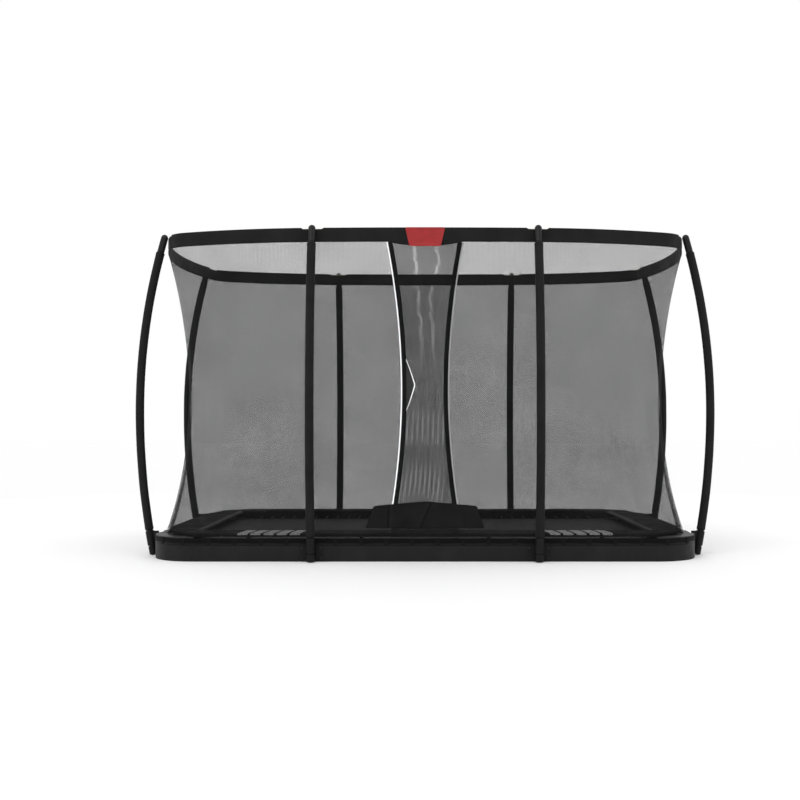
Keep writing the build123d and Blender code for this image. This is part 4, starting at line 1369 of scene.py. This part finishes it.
def flap_lift(x, along, v):
    """How far the flap stands off its plane: two sharp ridges and a soft one."""
    lift = 0.007 * exp(-abs(x + 0.262 + 0.15 * along) / 0.010)
    lift += 0.005 * exp(-abs(x - 0.060 + 0.55 * along) / 0.012) * (1 - v)
    return lift + 0.004 * bell(x - 0.27 - 0.10 * along, 0.020) * v


def threshold_flap():
    """One sheet from its sewn peak over the foot of the entrance, bent at the lifting part's hinge."""
    hinge, foot, peak = (Vector((0, y, z)) for y, z in (FLAP_HINGE, FLAP_LOW, FLAP_PEAK))
    down, up = (foot - hinge).normalized(), (peak - hinge).normalized()
    normal = down.cross(Vector((1, 0, 0))).normalized()
    if normal.y > 0:
        normal.negate()
    length = (foot - hinge).length - 0.001
    peak_rise = (peak - hinge).length

    def place(u, v):
        top = -0.004 - (peak_rise - 0.006) * (1 - abs(u))
        along = top + (length - top) * v
        x = u * (FLAP_TOP_HALF + (FLAP_LOW_HALF - FLAP_TOP_HALF) * max(along, 0) / length)
        lift = flap_lift(x, along, v) + 0.0016 * sin(x * 23 + v * 3) * v * (1 - abs(u) ** 6)
        bend = smoothstep((along + 0.012) / 0.024)
        slope = up * -min(along, 0) * (1 - bend) + down * max(along, 0)
        stand_off = lift * smoothstep((along + 0.03) / 0.05) - 0.001
        return hinge + Vector((x, 0, 0)) + slope + normal * stand_off, (x, along)

    obj = grid_object("threshold_flap_sheet", spread(-1, 1, 121), spread(0, 1, 33), place)
    solid = obj.modifiers.new("thickness", "SOLIDIFY")
    solid.thickness = FLAP_THICKNESS
    solid.offset = 0
    apply_modifiers(obj)
    paint(obj, FLAP)
    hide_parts("threshold_flap", "threshold_flap_header")
    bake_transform(obj)


# ---- Stage ----

CAMERA_DISTANCE = 9.012
CAMERA_HEIGHT = 0.976
CAMERA_LENS = 47.75
CAMERA_SHIFT = (-0.0314, 0.0353)
AMBIENT = 0.93                  # the white surroundings' strength as the object sees them


def stage():
    """Plain pale floor."""
    steps = spread(-60, 60, 9)
    floor_obj = grid_object("studio_floor", steps, steps, lambda x, y: (Vector((x, y, 0)), (x, y)))
    paint(floor_obj, floor_paint("studio_floor"))
    floor_obj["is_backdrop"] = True


def sun(name, direction, strength, angle):
    """Broad soft light from a direction, even over the whole floor."""
    light = bpy.data.lights.new(name, "SUN")
    light.energy = strength
    light.angle = radians(angle)
    add_object(name, light).rotation_euler = Vector(direction).to_track_quat("-Z", "Y").to_euler()


def lights():
    """Even white surroundings, seen as white by the camera and a little dimmer by the object."""
    world = bpy.data.worlds.new("studio")
    bpy.context.scene.world = world
    world.use_nodes = True
    tree = world.node_tree
    seen = tree.nodes.new("ShaderNodeLightPath").outputs["Is Camera Ray"]
    strength = tree.nodes.new("ShaderNodeMapRange")
    for socket, value in zip(list(strength.inputs)[1:5], (0.0, 1.0, AMBIENT, 1.0)):
        socket.default_value = value
    tree.links.new(seen, strength.inputs[0])
    background = tree.nodes["Background"]
    background.inputs["Color"].default_value = (1.0, 1.0, 1.0, 1.0)
    tree.links.new(strength.outputs[0], background.inputs["Strength"])
    sun("key", (0.55, 0.75, -1.0), 0.68, 40.0)
    sun("fill", (-0.8, 0.3, -0.9), 0.32, 60.0)


def camera():
    """Level camera in front of the entrance, its picture shifted rather than tilted."""
    data = bpy.data.cameras.new("camera")
    data.lens = CAMERA_LENS
    data.shift_x, data.shift_y = CAMERA_SHIFT
    data.clip_end = 200.0
    obj = add_object("camera", data)
    obj.location = (0, -CAMERA_DISTANCE, CAMERA_HEIGHT)
    obj.rotation_euler = (pi / 2, 0, 0)
    bpy.context.scene.camera = obj
    bpy.context.scene.view_settings.view_transform = "Standard"


def write_size():
    boxes = {"cad": cad_bounds, "visual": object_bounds()}
    {name: [list(corner) for corner in box] for name, box in boxes.items()}


camera()
paint_cad_nodes()
net_walls()
entrance()
pull_tab()
top_sleeve()
badge()
hem()
pole_sleeves()
mat()
mat_webbing()
mat_rings()
springs()
pads()
threshold_flap()
stage()
lights()
write_size()
